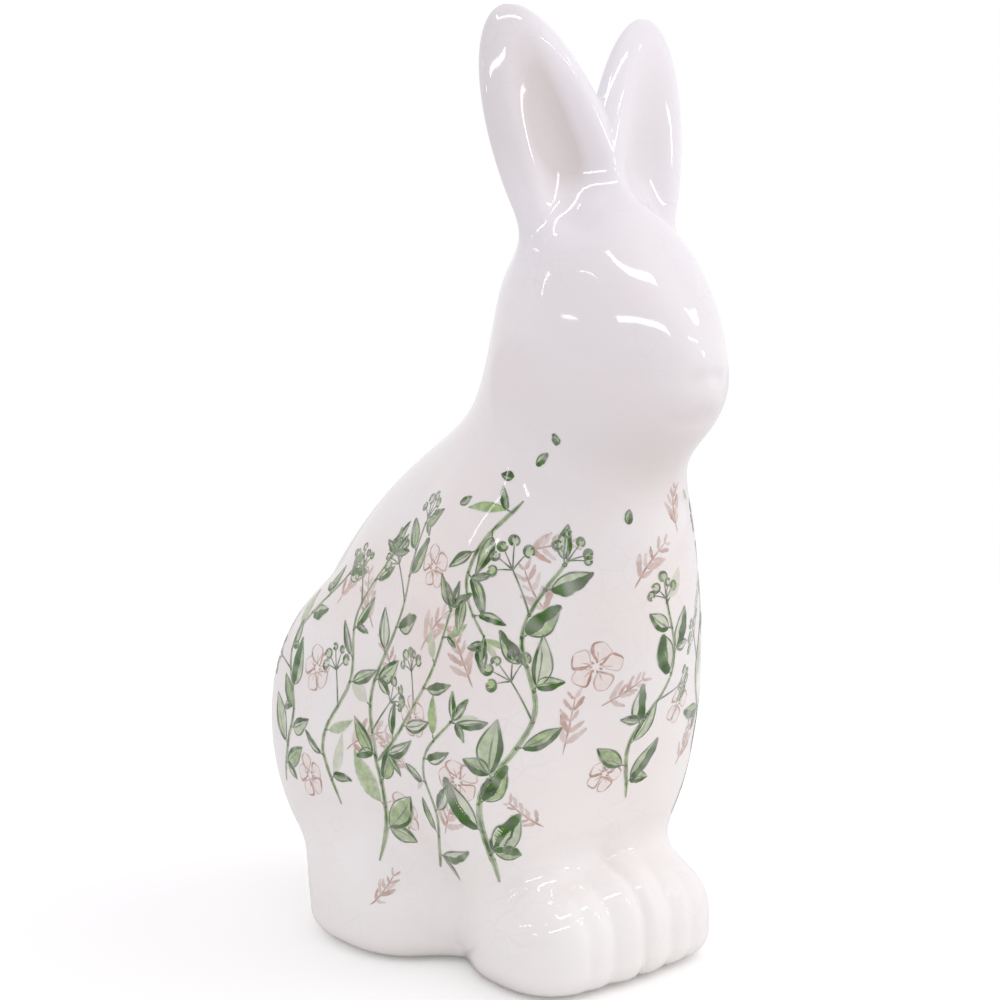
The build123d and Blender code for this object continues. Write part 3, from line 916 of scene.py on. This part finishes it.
# %% The layout
# places along the stem, number of leaves, leaf length, leaves that are berry heads, kind, stem
sprays = [
    ([(-86, 30), (-82, 56), (-91, 82), (-85, 110), (-95, 134)], 13, 14.0, (4, 9), "round", 0.66),
    ([(-38, 31), (-42, 56), (-31, 82), (-37, 106), (-28, 126)], 12, 14.5, (5, 9), "round", 0.8),
    ([(-83, 60), (-72, 74), (-62, 92), (-59, 112)], 8, 11.0, (3,), "narrow", 0.55),
    ([(-62, 30), (-56, 48), (-60, 66), (-52, 80)], 7, 12.0, (), "narrow", 0.55),
    ([(3, 52), (-3, 72), (6, 92), (1, 114)], 9, 12.5, (4,), "round", 0.6),
    ([(-49, 142), (-57, 130), (-55, 116), (-47, 104)], 7, 10.5, (), "narrow", 0.5),
    ([(-104, 44), (-110, 64), (-103, 84), (-112, 104), (-106, 122)], 10, 12.0, (3, 7), "narrow", 0.6),
    ([(32, 40), (37, 64), (27, 88), (34, 112), (28, 132)], 11, 13.0, (5,), "round", 0.66),
    ([(68, 32), (73, 58), (66, 84), (72, 110), (66, 134)], 12, 14.0, (4, 8), "round", 0.7),
    ([(104, 40), (97, 62), (106, 86), (99, 110)], 10, 12.0, (5,), "narrow", 0.6),
    ([(138, 46), (144, 70), (134, 92), (142, 116)], 10, 13.5, (4,), "round", 0.66),
    ([(-168, 58), (-175, 80), (-165, 102), (-172, 124)], 9, 12.5, (4,), "round", 0.66),
    ([(-134, 44), (-127, 68), (-138, 90), (-130, 114)], 11, 13.0, (5,), "round", 0.66),
]
# turn, height and size
blossoms = [
    (-121, 84, 9.5), (-72, 122, 8.0), (-48, 62, 9.0), (-17, 96, 9.5), (15, 80, 8.5), (-74, 46, 8.0),
    (50, 94, 9.5), (88, 78, 9.0), (120, 98, 9.5), (160, 76, 9.0), (-151, 94, 9.5), (-118, 50, 8.5),
    (53, 52, 8.0), (179, 110, 8.0), (-67, 78, 8.0), (-8, 62, 7.5),
]
# turn, height, lean from level and length
ferns = [
    (-98, 62, 40, 19), (-100, 100, 130, 18), (-68, 98, 60, 18), (-48, 90, 110, 17), (-22, 70, 80, 18),
    (-9, 118, 60, 17), (-42, 128, 20, 14), (18, 102, 75, 16), (-25, 48, 150, 15), (60, 102, 110, 17),
    (84, 102, 70, 17), (118, 70, 100, 18), (152, 106, 60, 16), (-146, 68, 120, 18), (-126, 104, 70, 16),
    (-160, 40, 90, 15), (22, 58, 60, 15), (-88, 17, 40, 12), (-30, 110, 130, 16), (-54, 44, 60, 15),
    (-78, 84, 120, 16), (8, 132, 100, 13), (-14, 84, 30, 15), (-66, 60, 150, 14),
]
strays = [
    (-50, 152, 40, 5), (-44, 158, 100, 3.4), (-58, 148, 160, 4), (-12, 136, 70, 4),
    (20, 140, 120, 4), (-76, 140, 30, 4.5),
]
BLOSSOM_LEAN = (0.3, 0.2, 1.0)

for turn, height, size in blossoms:
    blossom(spot_at(turn, height, BLOSSOM_LEAN), 0.8 * size)
for turn, height, lean, length in ferns:
    fern(turned(spot_at(turn, height), lean - 90), length)
for turn, height, lean, length in strays:
    leaf(turned(spot_at(turn, height), lean - 90), length, 0.26 * length, 0.1 * length)
for keys, leaves, size, heads, kind, thick in sprays:
    spray(keys, leaves, size, heads, kind, thick)
print({layer: len(kept) for layer, kept in marks.items()}, "brush marks")


# %% Ribbons on the skin
def laid(layer, across, lift):
    """Settles the middle lines, steps to each side by the half width along normal cross tangent,
    and settles the ribbon the lift above the skin."""
    lines, halves, inks = (np.stack(parts) for parts in zip(*marks[layer]))
    lines = settled(lines, fired_gap, 0.0, 5, 4.0)
    side = np.cross(outward(fired_gap, lines), np.gradient(lines, axis=1))
    side = side / (np.linalg.norm(side, axis=-1, keepdims=True) + 1e-9)
    shares = np.linspace(-1, 1, across)
    steps_aside = side[:, :, None, :] * halves[:, :, None, None] * shares[:, None]
    ribbon = settled(lines[:, :, None, :] + steps_aside, fired_gap, lift, 3, 1.0)
    count = len(ribbon)
    start = np.arange(count)[:, None, None] * STEPS * across
    here = start + np.arange(STEPS - 1)[:, None] * across + np.arange(across - 1)
    quads = np.stack([here, here + across, here + across + 1, here + 1], axis=-1).reshape(-1, 4)
    normals = outward(fired_gap, ribbon).reshape(-1, 3)
    piece = new_piece("print_" + layer, ribbon.reshape(-1, 3), [quads], normals)
    store(piece, "ink", np.repeat(inks.ravel(), across))
    store(piece, "rim", np.tile(np.abs(shares), count * STEPS))
    return piece


rose_wash = laid("rose_wash", 5, 0.035)
rose_lines = laid("rose_line", 3, 0.05)
green_wash = laid("green_wash", 5, 0.065)
green_lines = laid("green_line", 3, 0.085)

# %% Signed volumes, to see that every skin faces outwards
def signed_volume(piece):
    """Sum over the triangles of the triple product of their corners, over six."""
    mesh = piece.data
    mesh.calc_loop_triangles()
    corners = np.empty(len(mesh.loop_triangles) * 3, dtype=np.int32)
    mesh.loop_triangles.foreach_get("vertices", corners)
    places = np.empty(len(mesh.vertices) * 3)
    mesh.vertices.foreach_get("co", places)
    a, b, c = np.moveaxis(places.reshape(-1, 3)[corners.reshape(-1, 3)], 1, 0)
    return float((a * np.cross(b, c)).sum() / 6 * 1e6)


for piece in (body, left_ear, right_ear, tail):
    print(piece.name, "signed volume in ml", round(signed_volume(piece), 2))

# %% [markdown]
# ## Colours and one node helper
# Colours are written as the sRGB values seen on the object and turned to linear by one function.
# One small function adds any node with its settings and links, so each finish below reads as a
# short recipe. A pattern's size is given in millimetres, from crest to crest, and a node wants
# the number of them in a metre.

# %% Helpers for finishes
def linear(code):
    """sRGB hex to linear red, green, blue and a full alpha."""
    parts = [int(code[i : i + 2], 16) / 255 for i in (1, 3, 5)]
    return tuple(p / 12.92 if p <= 0.04045 else ((p + 0.055) / 1.055) ** 2.4 for p in parts) + (1.0,)


def per_metre(size):
    """How many crests fit in a metre: one over the size in metres."""
    return 1 / (size * MM)


def finish(name, roughness):
    """An empty material and its shader."""
    material = bpy.data.materials.new(name)
    material.use_nodes = True
    shader = material.node_tree.nodes["Principled BSDF"]
    shader.inputs["Roughness"].default_value = roughness
    return material.node_tree, shader


def add(tree, kind, inputs=(), output=0, **settings):
    """One node with its settings: an input is linked where it is given another node's output,
    and set where it is given a value. Returns one of the new node's outputs. A colour mix has
    its share at input 0, its two colours at 6 and 7 and the mixed one at output 2."""
    node = tree.nodes.new("ShaderNode" + kind)
    for key, value in settings.items():
        setattr(node, key, value)
    for key, value in dict(inputs).items():
        if isinstance(value, bpy.types.NodeSocket):
            tree.links.new(value, node.inputs[key])
        else:
            node.inputs[key].default_value = value
    return node.outputs[output]


print("linear value of mid grey:", round(linear("#808080")[0], 3))

# %% [markdown]
# ## The glaze
# White earthenware under a clear glossy glaze, dipped and fired: close to a mirror, but with a
# faint swell where the glaze has flowed and a fine skin like peel. It blushes where it lies thin
# over the pink clay, is cooler white on the head and ears, and paler white towards the foot.
# Shade is also painted into its colour: greyer in creases, under the head and in the hollows of
# the ears, more on the right one. This painted shade follows the shape, so it is worked out from
# the gap and kept as a number on each point. Fine crazing shows in patches.

# %% Painted shade in hollows, under the head and in the ears
SHADE_REACH = 1.2
HOLLOW_SHADE_GAIN = 4
CHIN_SHADE = 0.45
PRESSED_DEPTH = 5


def painted_shade_share(points):
    """Painted shade, 0 to 1, from how hollow the clay is: the gap's neighbours 1.2 mm away,
    averaged and less the gap, which is negative in a hollow. Shade is painted on the head's
    underside too, where the normal looks down."""
    steps = [way * step for step in np.eye(3) * SHADE_REACH for way in (1, -1)]
    near = sum(fired_gap(points + step) for step in steps)
    curve = (near / len(steps) - fired_gap(points)) / SHADE_REACH**2
    height = points[:, 2]
    below = np.clip(0.25 - outward(fired_gap, points)[:, 2], 0, 1)
    chin = CHIN_SHADE * below * ramp(height, 105, 150) * (1 - ramp(height, 175, 205))
    return np.clip(chin - HOLLOW_SHADE_GAIN * curve, 0, 1)


def ear_painted_shade_share(points, thick):
    """Painted shade on an ear: the depth below the leaf's own egg over 5 mm, which is how far the
    hollow has been pressed in, added to the painted shade worked out as for the body. Thick
    paints more shade on the outer part of the leaf, by the measure across it."""
    u, v, s = np.moveaxis((points - EAR_MIDDLE) @ EAR_AXES.T, -1, 0)
    pressed = np.clip(-egg_gap(u, v, s, EAR_SIZES) / PRESSED_DEPTH, 0, 1)
    outer = thick * ramp(u, -9, -1)
    above_seat = ramp(points[:, 2], SEAT, SEAT + 20)
    return np.clip(painted_shade_share(points) + above_seat * (pressed * (0.4 + outer) + 0.35 * outer), 0, 1)


# painted shade on each piece: in hollows, under the head and in the ear hollows, more on the right ear;
# none on the tail
painted_shades = [
    (body, painted_shade_share(body_points)),
    (left_ear, ear_painted_shade_share(ear_points, 0.0)),
    (right_ear, ear_painted_shade_share(ear_points, 1.0)),
    (tail, np.zeros(len(tail_points))),
]
for piece, painted_shade in painted_shades:
    store(piece, "painted_shade", painted_shade)
    print(piece.name, "mean pool", round(float(painted_shade.mean()), 3))

# %% Clear glaze over white earthenware
# roughness 0.06 and IOR 1.52, a fired glaze: the eye sees lamps and room mirrored in it
GROUND = "#F1ECEA"
BLUSH = "#F1E6E1"
COOL = "#EFEBF0"
# FOOT is mixed in paler towards the bottom, from most below 0.02 m to nothing at 0.1 m up
FOOT = "#FAF6F3"
COOL_HEIGHTS = {"From Min": 0.12, "From Max": 0.23, "To Max": 0.8}
FOOT_HEIGHTS = {"From Min": 0.02, "From Max": 0.1, "To Min": 0.85, "To Max": 0.0}
CLOUD_SIZE = 35.7
SWELL_SIZE = 12.5
SWELL_RISE = 0.04
PEEL_SIZE = 2.38
PEEL_RISE = 0.004


def clear_glaze(name):
    """The glaze with its four whites; returns the tree, the shader, the clay's own colour and
    the place on the piece."""
    tree, shader = finish(name, 0.06)
    shader.inputs["IOR"].default_value = 1.52
    place = add(tree, "TexCoord", output="Object")
    cloud = add(tree, "TexNoise", {"Vector": place, "Scale": per_metre(CLOUD_SIZE), "Detail": 3.0})
    soft = add(tree, "MapRange", {"Value": cloud, "From Min": 0.35, "From Max": 0.65})
    tone = add(tree, "Mix", {0: soft, 6: linear(GROUND), 7: linear(BLUSH)}, 2, data_type="RGBA")
    height = add(tree, "SeparateXYZ", {"Vector": place}, "Z")
    rise = add(tree, "MapRange", {"Value": height, **COOL_HEIGHTS})
    upper = add(tree, "Mix", {0: rise, 6: tone, 7: linear(COOL)}, 2, data_type="RGBA")
    fall = add(tree, "MapRange", {"Value": height, **FOOT_HEIGHTS})
    lower = add(tree, "Mix", {0: fall, 6: upper, 7: linear(FOOT)}, 2, data_type="RGBA")
    swell = add(tree, "TexNoise", {"Vector": place, "Scale": per_metre(SWELL_SIZE), "Detail": 1.0})
    wave = add(tree, "Bump", {"Height": swell, "Distance": SWELL_RISE * MM})
    fine = add(tree, "TexNoise", {"Vector": place, "Scale": per_metre(PEEL_SIZE), "Detail": 2.0})
    peel = add(tree, "Bump", {"Height": fine, "Normal": wave, "Distance": PEEL_RISE * MM})
    tree.links.new(peel, shader.inputs["Normal"])
    return tree, shader, lower, place


# %% Crazing, and the glaze on its pieces
# painted shade: the grey mixed into the clay colour where the painted shade number is high
PAINTED_SHADE_COLOUR = "#D8CFCD"
CRACK_COLOUR = "#B9A9A4"
CRAZING_SIZE = 6.9
CRACK = {"From Max": 0.035, "To Min": 0.08, "To Max": 0.0}
PATCH_SIZE = 28.6
tree, shader, clay_colour, place = clear_glaze("clear_glaze_on_white_earthenware")
# the painted shade kept on each point greys the clay colour
painted_shade = add(tree, "Attribute", output="Fac", attribute_name="painted_shade")
shaded = add(tree, "Mix", {0: painted_shade, 6: clay_colour, 7: linear(PAINTED_SHADE_COLOUR)}, 2, data_type="RGBA")
sizes = {"Vector": place, "Scale": per_metre(CRAZING_SIZE)}
cells = add(tree, "TexVoronoi", sizes, "Distance", feature="DISTANCE_TO_EDGE")
crack = add(tree, "MapRange", {"Value": cells, **CRACK})
patches = add(tree, "TexNoise", {"Vector": place, "Scale": per_metre(PATCH_SIZE), "Detail": 1.0})
where = add(tree, "MapRange", {"Value": patches, "From Min": 0.48, "From Max": 0.62})
faint = add(tree, "Math", {0: crack, 1: where}, operation="MULTIPLY")
crazed = add(tree, "Mix", {0: faint, 6: shaded, 7: linear(CRACK_COLOUR)}, 2, data_type="RGBA")
tree.links.new(crazed, shader.inputs["Base Color"])
for piece, _ in painted_shades:
    piece.data.materials.append(bpy.data.materials["clear_glaze_on_white_earthenware"])
print("glaze with crazing cells of", CRAZING_SIZE, "mm on", len(painted_shades), "pieces")

# %% [markdown]
# ## Printing inks
# The print is underglaze colour: fine ground stain in a thin film, fired under the same glaze,
# so it has the same shine and swell and only its colour differs. A brush line is darker where
# the brush was full, a wash is paler, and both are ragged at the rim.

# %% Underglaze inks
GRAIN_SIZE = 2.38
DAB_SIZE = 4.76
SPREAD = {"From Min": 0.35, "From Max": 0.62}
UNEVEN = {"From Min": 0.3, "From Max": 0.6, "To Min": 0.82}
RAGGED = {"From Min": 1.08, "From Max": 1.32, "To Min": 1.0, "To Max": 0.0}


def underglaze(piece, name, deep, pale, cover):
    """Ink over the clay's colour: deep and pale mixed by a fine cloud, and laid over the clay by
    the cover times the mark's own ink times a cloud of dabs, as far as its ragged rim."""
    tree, shader, clay_colour, place = clear_glaze(name)
    grain = add(tree, "TexNoise", {"Vector": place, "Scale": per_metre(GRAIN_SIZE), "Detail": 3.0})
    spread = add(tree, "MapRange", {"Value": grain, **SPREAD})
    colour = add(tree, "Mix", {0: spread, 6: linear(deep), 7: linear(pale)}, 2, data_type="RGBA")
    dabs = add(tree, "TexNoise", {"Vector": place, "Scale": per_metre(DAB_SIZE), "Detail": 2.0})
    uneven = add(tree, "MapRange", {"Value": dabs, **UNEVEN})
    rim = add(tree, "Attribute", output="Fac", attribute_name="rim")
    ragged = add(tree, "Math", {0: grain, 1: 0.5, 2: rim}, operation="MULTIPLY_ADD")
    edge = add(tree, "MapRange", {"Value": ragged, **RAGGED})
    amount = add(tree, "Math", {0: uneven, 1: cover}, operation="MULTIPLY")
    ink = add(tree, "Attribute", output="Fac", attribute_name="ink")
    inked = add(tree, "Math", {0: amount, 1: ink}, operation="MULTIPLY")
    held = add(tree, "Math", {0: inked, 1: edge}, operation="MULTIPLY")
    laid_on = add(tree, "Mix", {0: held, 6: clay_colour, 7: colour}, 2, data_type="RGBA")
    tree.links.new(laid_on, shader.inputs["Base Color"])
    piece.data.materials.append(bpy.data.materials[name])
    print(name, "covers up to", cover)


underglaze(green_lines, "green_underglaze_line", "#1A3C00", "#3C6F08", 1.0)
underglaze(green_wash, "green_underglaze_wash", "#618C32", "#A8C17E", 0.95)
underglaze(rose_lines, "rose_underglaze_line", "#9C674C", "#C2937D", 0.88)
underglaze(rose_wash, "rose_underglaze_wash", "#E0BBA9", "#EBD6CA", 0.6)

# %% [markdown]
# ## Bare clay and felt
# The disc, the ground foot and the cavity are bare earthenware: fine, dull and a little warmer
# than the glaze, with grog specks about a millimetre apart. The pads are pressed wool felt, soft
# at the rim, with fibres far too fine to show, so they are drawn as a coarser fuzz.

# %% Felt pads
FELT_COLUMNS = 96
FELT_RIM = 0.5
FELT_WOBBLE = 0.006


def felt_pad(node):
    """A profile turned about the pad's middle: flat faces, and a rim that is half an oval."""
    low, high = (np.array(corner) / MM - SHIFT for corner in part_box(node))
    middle = (low + high) / 2
    radius = (high[0] - low[0]) / 2
    thick = (high[2] - low[2]) / 2
    bend = np.linspace(-math.pi / 2, math.pi / 2, 9)
    rim = np.stack([radius - FELT_RIM * (1 - np.cos(bend)), thick * np.sin(bend)], axis=1)
    inner = radius * np.array([0.25, 0.5, 0.75, 0.9])
    below = np.stack([inner, np.full(len(inner), -thick)], axis=1)
    profile = np.concatenate([below, rim, below[::-1] * [1, -1]])
    turn = np.linspace(0, 2 * math.pi, FELT_COLUMNS, endpoint=False)
    wobble = 1 - FELT_WOBBLE * (1 + np.sin(5 * turn + low[0]) * np.sin(13 * turn))
    x = profile[:, :1] * np.cos(turn) * wobble
    y = profile[:, :1] * np.sin(turn) * wobble
    z = np.broadcast_to(profile[:, 1:], x.shape)
    grid = (np.stack([x, y, z], axis=-1) + middle).reshape(-1, 3)
    pole = len(grid)
    points = np.concatenate([grid, [middle - [0, 0, thick], middle + [0, 0, thick]]])
    bottom = fan(0, FELT_COLUMNS, pole)[:, ::-1]
    top = fan(pole - FELT_COLUMNS, FELT_COLUMNS, pole + 1)
    pad = new_piece("soft_" + node, points, [ring_faces(len(profile), FELT_COLUMNS), bottom, top])
    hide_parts(node)
    return pad


pads = [felt_pad(node) for node in sorted(frame["nodes"]) if node.startswith("felt_pad")]

# %% Pressed wool felt
# rough throughout with a little sheen, which is the light caught in loose fibres
FELT_SHADE = "#DAD6CE"
FELT_WHITE = "#F2EFE9"
FUZZ_SIZE = 0.455
NAP_RISE = 0.1
tree, shader = finish("pressed_wool_felt", 0.95)
shader.inputs["Sheen Weight"].default_value = 0.4
place = add(tree, "TexCoord", output="Object")
fuzz = add(tree, "TexNoise", {"Vector": place, "Scale": per_metre(FUZZ_SIZE), "Detail": 4.0})
felt_tone = add(tree, "Mix", {0: fuzz, 6: linear(FELT_SHADE), 7: linear(FELT_WHITE)}, 2, data_type="RGBA")
tree.links.new(felt_tone, shader.inputs["Base Color"])
nap = add(tree, "Bump", {"Height": fuzz, "Strength": 0.8, "Distance": NAP_RISE * MM})
tree.links.new(nap, shader.inputs["Normal"])
for pad in pads:
    pad.data.materials.append(bpy.data.materials["pressed_wool_felt"])
print("felt on", len(pads), "pads")

# %% Bare fired earthenware
# unglazed and rough, so it looks dull and chalky beside the glaze
CLAY_DEEP = "#DCCFC2"
CLAY_PALE = "#EDE4D9"
GROG_COLOUR = "#B9A48F"
TONE_SIZE = 8.33
GROG_SPACING = 1.11
SPECK = {"From Min": 0.12, "From Max": 0.2, "To Min": 0.5, "To Max": 0.0}
TOOTH_RISE = 0.1
tree, shader = finish("bare_fired_earthenware", 0.85)
place = add(tree, "TexCoord", output="Object")
cloud = add(tree, "TexNoise", {"Vector": place, "Scale": per_metre(TONE_SIZE), "Detail": 4.0})
clay_tone = add(tree, "Mix", {0: cloud, 6: linear(CLAY_DEEP), 7: linear(CLAY_PALE)}, 2, data_type="RGBA")
grog = add(tree, "TexVoronoi", {"Vector": place, "Scale": per_metre(GROG_SPACING)}, "Distance")
speck = add(tree, "MapRange", {"Value": grog, **SPECK})
specked = add(tree, "Mix", {0: speck, 6: clay_tone, 7: linear(GROG_COLOUR)}, 2, data_type="RGBA")
tree.links.new(specked, shader.inputs["Base Color"])
tooth = add(tree, "Bump", {"Height": cloud, "Strength": 0.5, "Distance": TOOTH_RISE * MM})
tree.links.new(tooth, shader.inputs["Normal"])
bare = bpy.data.materials["bare_fired_earthenware"]
disc = frame["nodes"]["closing_disc"]
disc.data.materials.clear()
disc.data.materials.append(bare)
body.data.materials.append(bare)
bare_faces = ~smooth
bare_faces[len(quads) : len(quads) + COLUMNS] = False
body.data.polygons.foreach_set("material_index", bare_faces.astype(np.int32))
print("bare faces inside and under the body:", int(bare_faces.sum()))

# %% [markdown]
# ## The floor
# A pale floor keeps the soft shadow near the object. The photograph has plain white round it, so
# to the camera alone the floor is lifted a little and fades to white further out.

# %% Floor
FLOOR_REACH = 6.0
FADE = {"From Min": 0.25, "From Max": 0.9}
FLOOR_LIFT = 0.24
sides = ((-1, -1), (1, -1), (1, 1), (-1, 1))
corners = [(x * FLOOR_REACH, y * FLOOR_REACH, 0) for x, y in sides]
floor_mesh = bpy.data.meshes.new("floor")
floor_mesh.from_pydata(corners, [], [(0, 1, 2, 3)])
floor = bpy.data.objects.new("floor", floor_mesh)
bpy.context.scene.collection.objects.link(floor)
tree, shader = finish("pale_studio_floor", 0.9)
shader.inputs["Base Color"].default_value = linear("#F2F1EF")
shader.inputs["Specular IOR Level"].default_value = 0.0
place = add(tree, "TexCoord", output="Object")
camera_ray = add(tree, "LightPath", output="Is Camera Ray")
far = add(tree, "VectorMath", {0: place}, "Value", operation="LENGTH")
fade = add(tree, "MapRange", {"Value": far, **FADE}, interpolation_type="SMOOTHSTEP")
seen = add(tree, "Math", {0: fade, 1: camera_ray}, operation="MULTIPLY")
lift = add(tree, "Math", {0: camera_ray, 1: FLOOR_LIFT}, operation="MULTIPLY")
lifted = add(tree, "Emission", {"Strength": lift})
both = add(tree, "AddShader", {0: shader.outputs["BSDF"], 1: lifted})
white = add(tree, "Emission", {"Strength": 1.0})
fading = add(tree, "MixShader", {0: seen, 1: both, 2: white})
tree.links.new(fading, tree.nodes["Material Output"].inputs["Surface"])
floor_mesh.materials.append(bpy.data.materials["pale_studio_floor"])
print("floor white from", FADE["From Max"], "m out")

# %% [markdown]
# ## The room
# An even pale world does most of the lighting, a little below white so that the pale glaze
# doesn't clip. The camera sees it plain white. What the glaze mirrors is white as well, but it
# falls to less than half towards the rabbit's front right, where the real room was darker, and
# that keeps the inks deep on that side.

# %% World
ROOM_SIDE = (-0.64, -0.76, 0.1)
ROOM = {"From Min": 0.1, "From Max": 0.8, "To Min": 1.0, "To Max": 0.45}
world = bpy.data.worlds.new("studio")
bpy.context.scene.world = world
world.use_nodes = True
tree = world.node_tree
dim = tree.nodes["Background"]
dim.inputs["Color"].default_value = linear("#FBFAFF")
dim.inputs["Strength"].default_value = 0.89
camera_ray = add(tree, "LightPath", output="Is Camera Ray")
mirror_ray = add(tree, "LightPath", output="Is Glossy Ray")
way_out = add(tree, "TexCoord", output="Generated")
facing = add(tree, "VectorMath", {0: way_out, 1: ROOM_SIDE}, "Value", operation="DOT_PRODUCT")
room = add(tree, "MapRange", {"Value": facing, **ROOM})
strength = add(tree, "Math", {0: room, 1: camera_ray}, operation="MAXIMUM")
bright = add(tree, "Background", {"Color": (1, 1, 1, 1), "Strength": strength})
open_view = add(tree, "Math", {0: camera_ray, 1: mirror_ray}, operation="MAXIMUM")
mixed = add(tree, "MixShader", {0: open_view, 1: dim.outputs["Background"], 2: bright})
tree.links.new(mixed, tree.nodes["World Output"].inputs["Surface"])
print("mirrored room falls to", ROOM["To Max"], "towards", ROOM_SIDE)

# %% [markdown]
# ## The lamps
# Two large soft lamps at the rabbit's left model the form without showing in the glaze. The
# marks of light on the real head, neck and ears come from bright things in the room, so each is
# a chain of narrow lamps that shine in the glaze and light nothing else. The corners of a chain
# are directions from the head, worked back from where its mark lies on the glaze.

# %% Soft light
HEAD_MIDDLE = np.array([0.0, -0.044, 0.19])
SOFT_SIZE = 1.2
SOFT_DISTANCE = 1.5
# name: direction from the head and radiance
SOFT = {"soft_high": ((0.60, -0.50, 0.75), 0.85), "soft_low": ((0.76, -0.65, 0.25), 0.45)}


def unit(way):
    """The vector over its own length."""
    return np.array(way) / np.linalg.norm(way)


def lamp_plate(name, ends, breadth, radiance):
    """A lamp that runs from one end to the other and faces the head; its power is radiance
    times pi times its area."""
    middle = (ends[0] + ends[1]) / 2
    length = np.linalg.norm(ends[1] - ends[0])
    data = bpy.data.lights.new(name, "AREA")
    data.shape = "RECTANGLE"
    data.size = length
    data.size_y = breadth
    data.energy = radiance * math.pi * length * breadth
    lamp = bpy.data.objects.new(name, data)
    bpy.context.scene.collection.objects.link(lamp)
    facing = unit(middle)
    across = unit(ends[1] - ends[0])
    across = unit(across - facing * (across @ facing))
    matrix = np.eye(4)
    matrix[:3, :3] = np.stack([across, np.cross(facing, across), facing], axis=1)
    matrix[:3, 3] = HEAD_MIDDLE + middle
    lamp.matrix_world = Matrix(matrix.tolist())
    return lamp


for name, (way, radiance) in SOFT.items():
    middle = unit(way) * SOFT_DISTANCE
    level = unit(np.cross([0.0, 1.0, 0.0], middle)) * SOFT_SIZE / 2
    soft = lamp_plate(name, (middle - level, middle + level), SOFT_SIZE, radiance)
    soft.visible_glossy = False
    print(name, "power", round(soft.data.energy, 2), "W")

# %% Shine
SHINE_DISTANCE = 0.9
SHINE_RADIANCE = 10
BROW_CRESCENT = [
    (-0.195, -0.3, 0.934), (-0.189, -0.435, 0.88), (-0.111, -0.492, 0.863),
    (0.047, -0.524, 0.85), (0.38, -0.488, 0.786),
]
BROW_DASH = [
    (-0.716, -0.546, 0.435), (-0.586, -0.644, 0.492), (-0.391, -0.748, 0.536),
    (0.0, -0.818, 0.575),
]
# name: breadth in metres and the directions of its corners from the head
SHINE = {
    "brow_crescent": (0.05, BROW_CRESCENT),
    "brow_dash": (0.045, BROW_DASH),
    "left_dash": (0.02, [(0.707, -0.389, 0.591), (0.713, -0.425, 0.558)]),
    "left_low": (0.015, [(0.445, -0.69, 0.571), (0.619, -0.587, 0.522)]),
    "left_spot": (0.05, [(0.648, -0.616, 0.447), (0.646, -0.67, 0.366)]),
    "cheek": (0.02, [(-0.967, -0.068, 0.244), (-0.931, -0.219, 0.293)]),
    "neck_high": (0.012, [(-0.582, -0.37, 0.724), (-0.66, -0.28, 0.697)]),
    "neck_low": (0.014, [(-0.86, 0.0, 0.52), (-0.921, 0.291, 0.26)]),
}
for name, (breadth, ways) in SHINE.items():
    corners = [unit(way) * SHINE_DISTANCE for way in ways]
    for number, ends in enumerate(zip(corners, corners[1:])):
        shine = lamp_plate(name + "_" + str(number + 1), ends, breadth, SHINE_RADIANCE)
        shine.visible_diffuse = False
print(len(SOFT), "soft lamps,", len(SHINE), "lines of lamps that only shine")
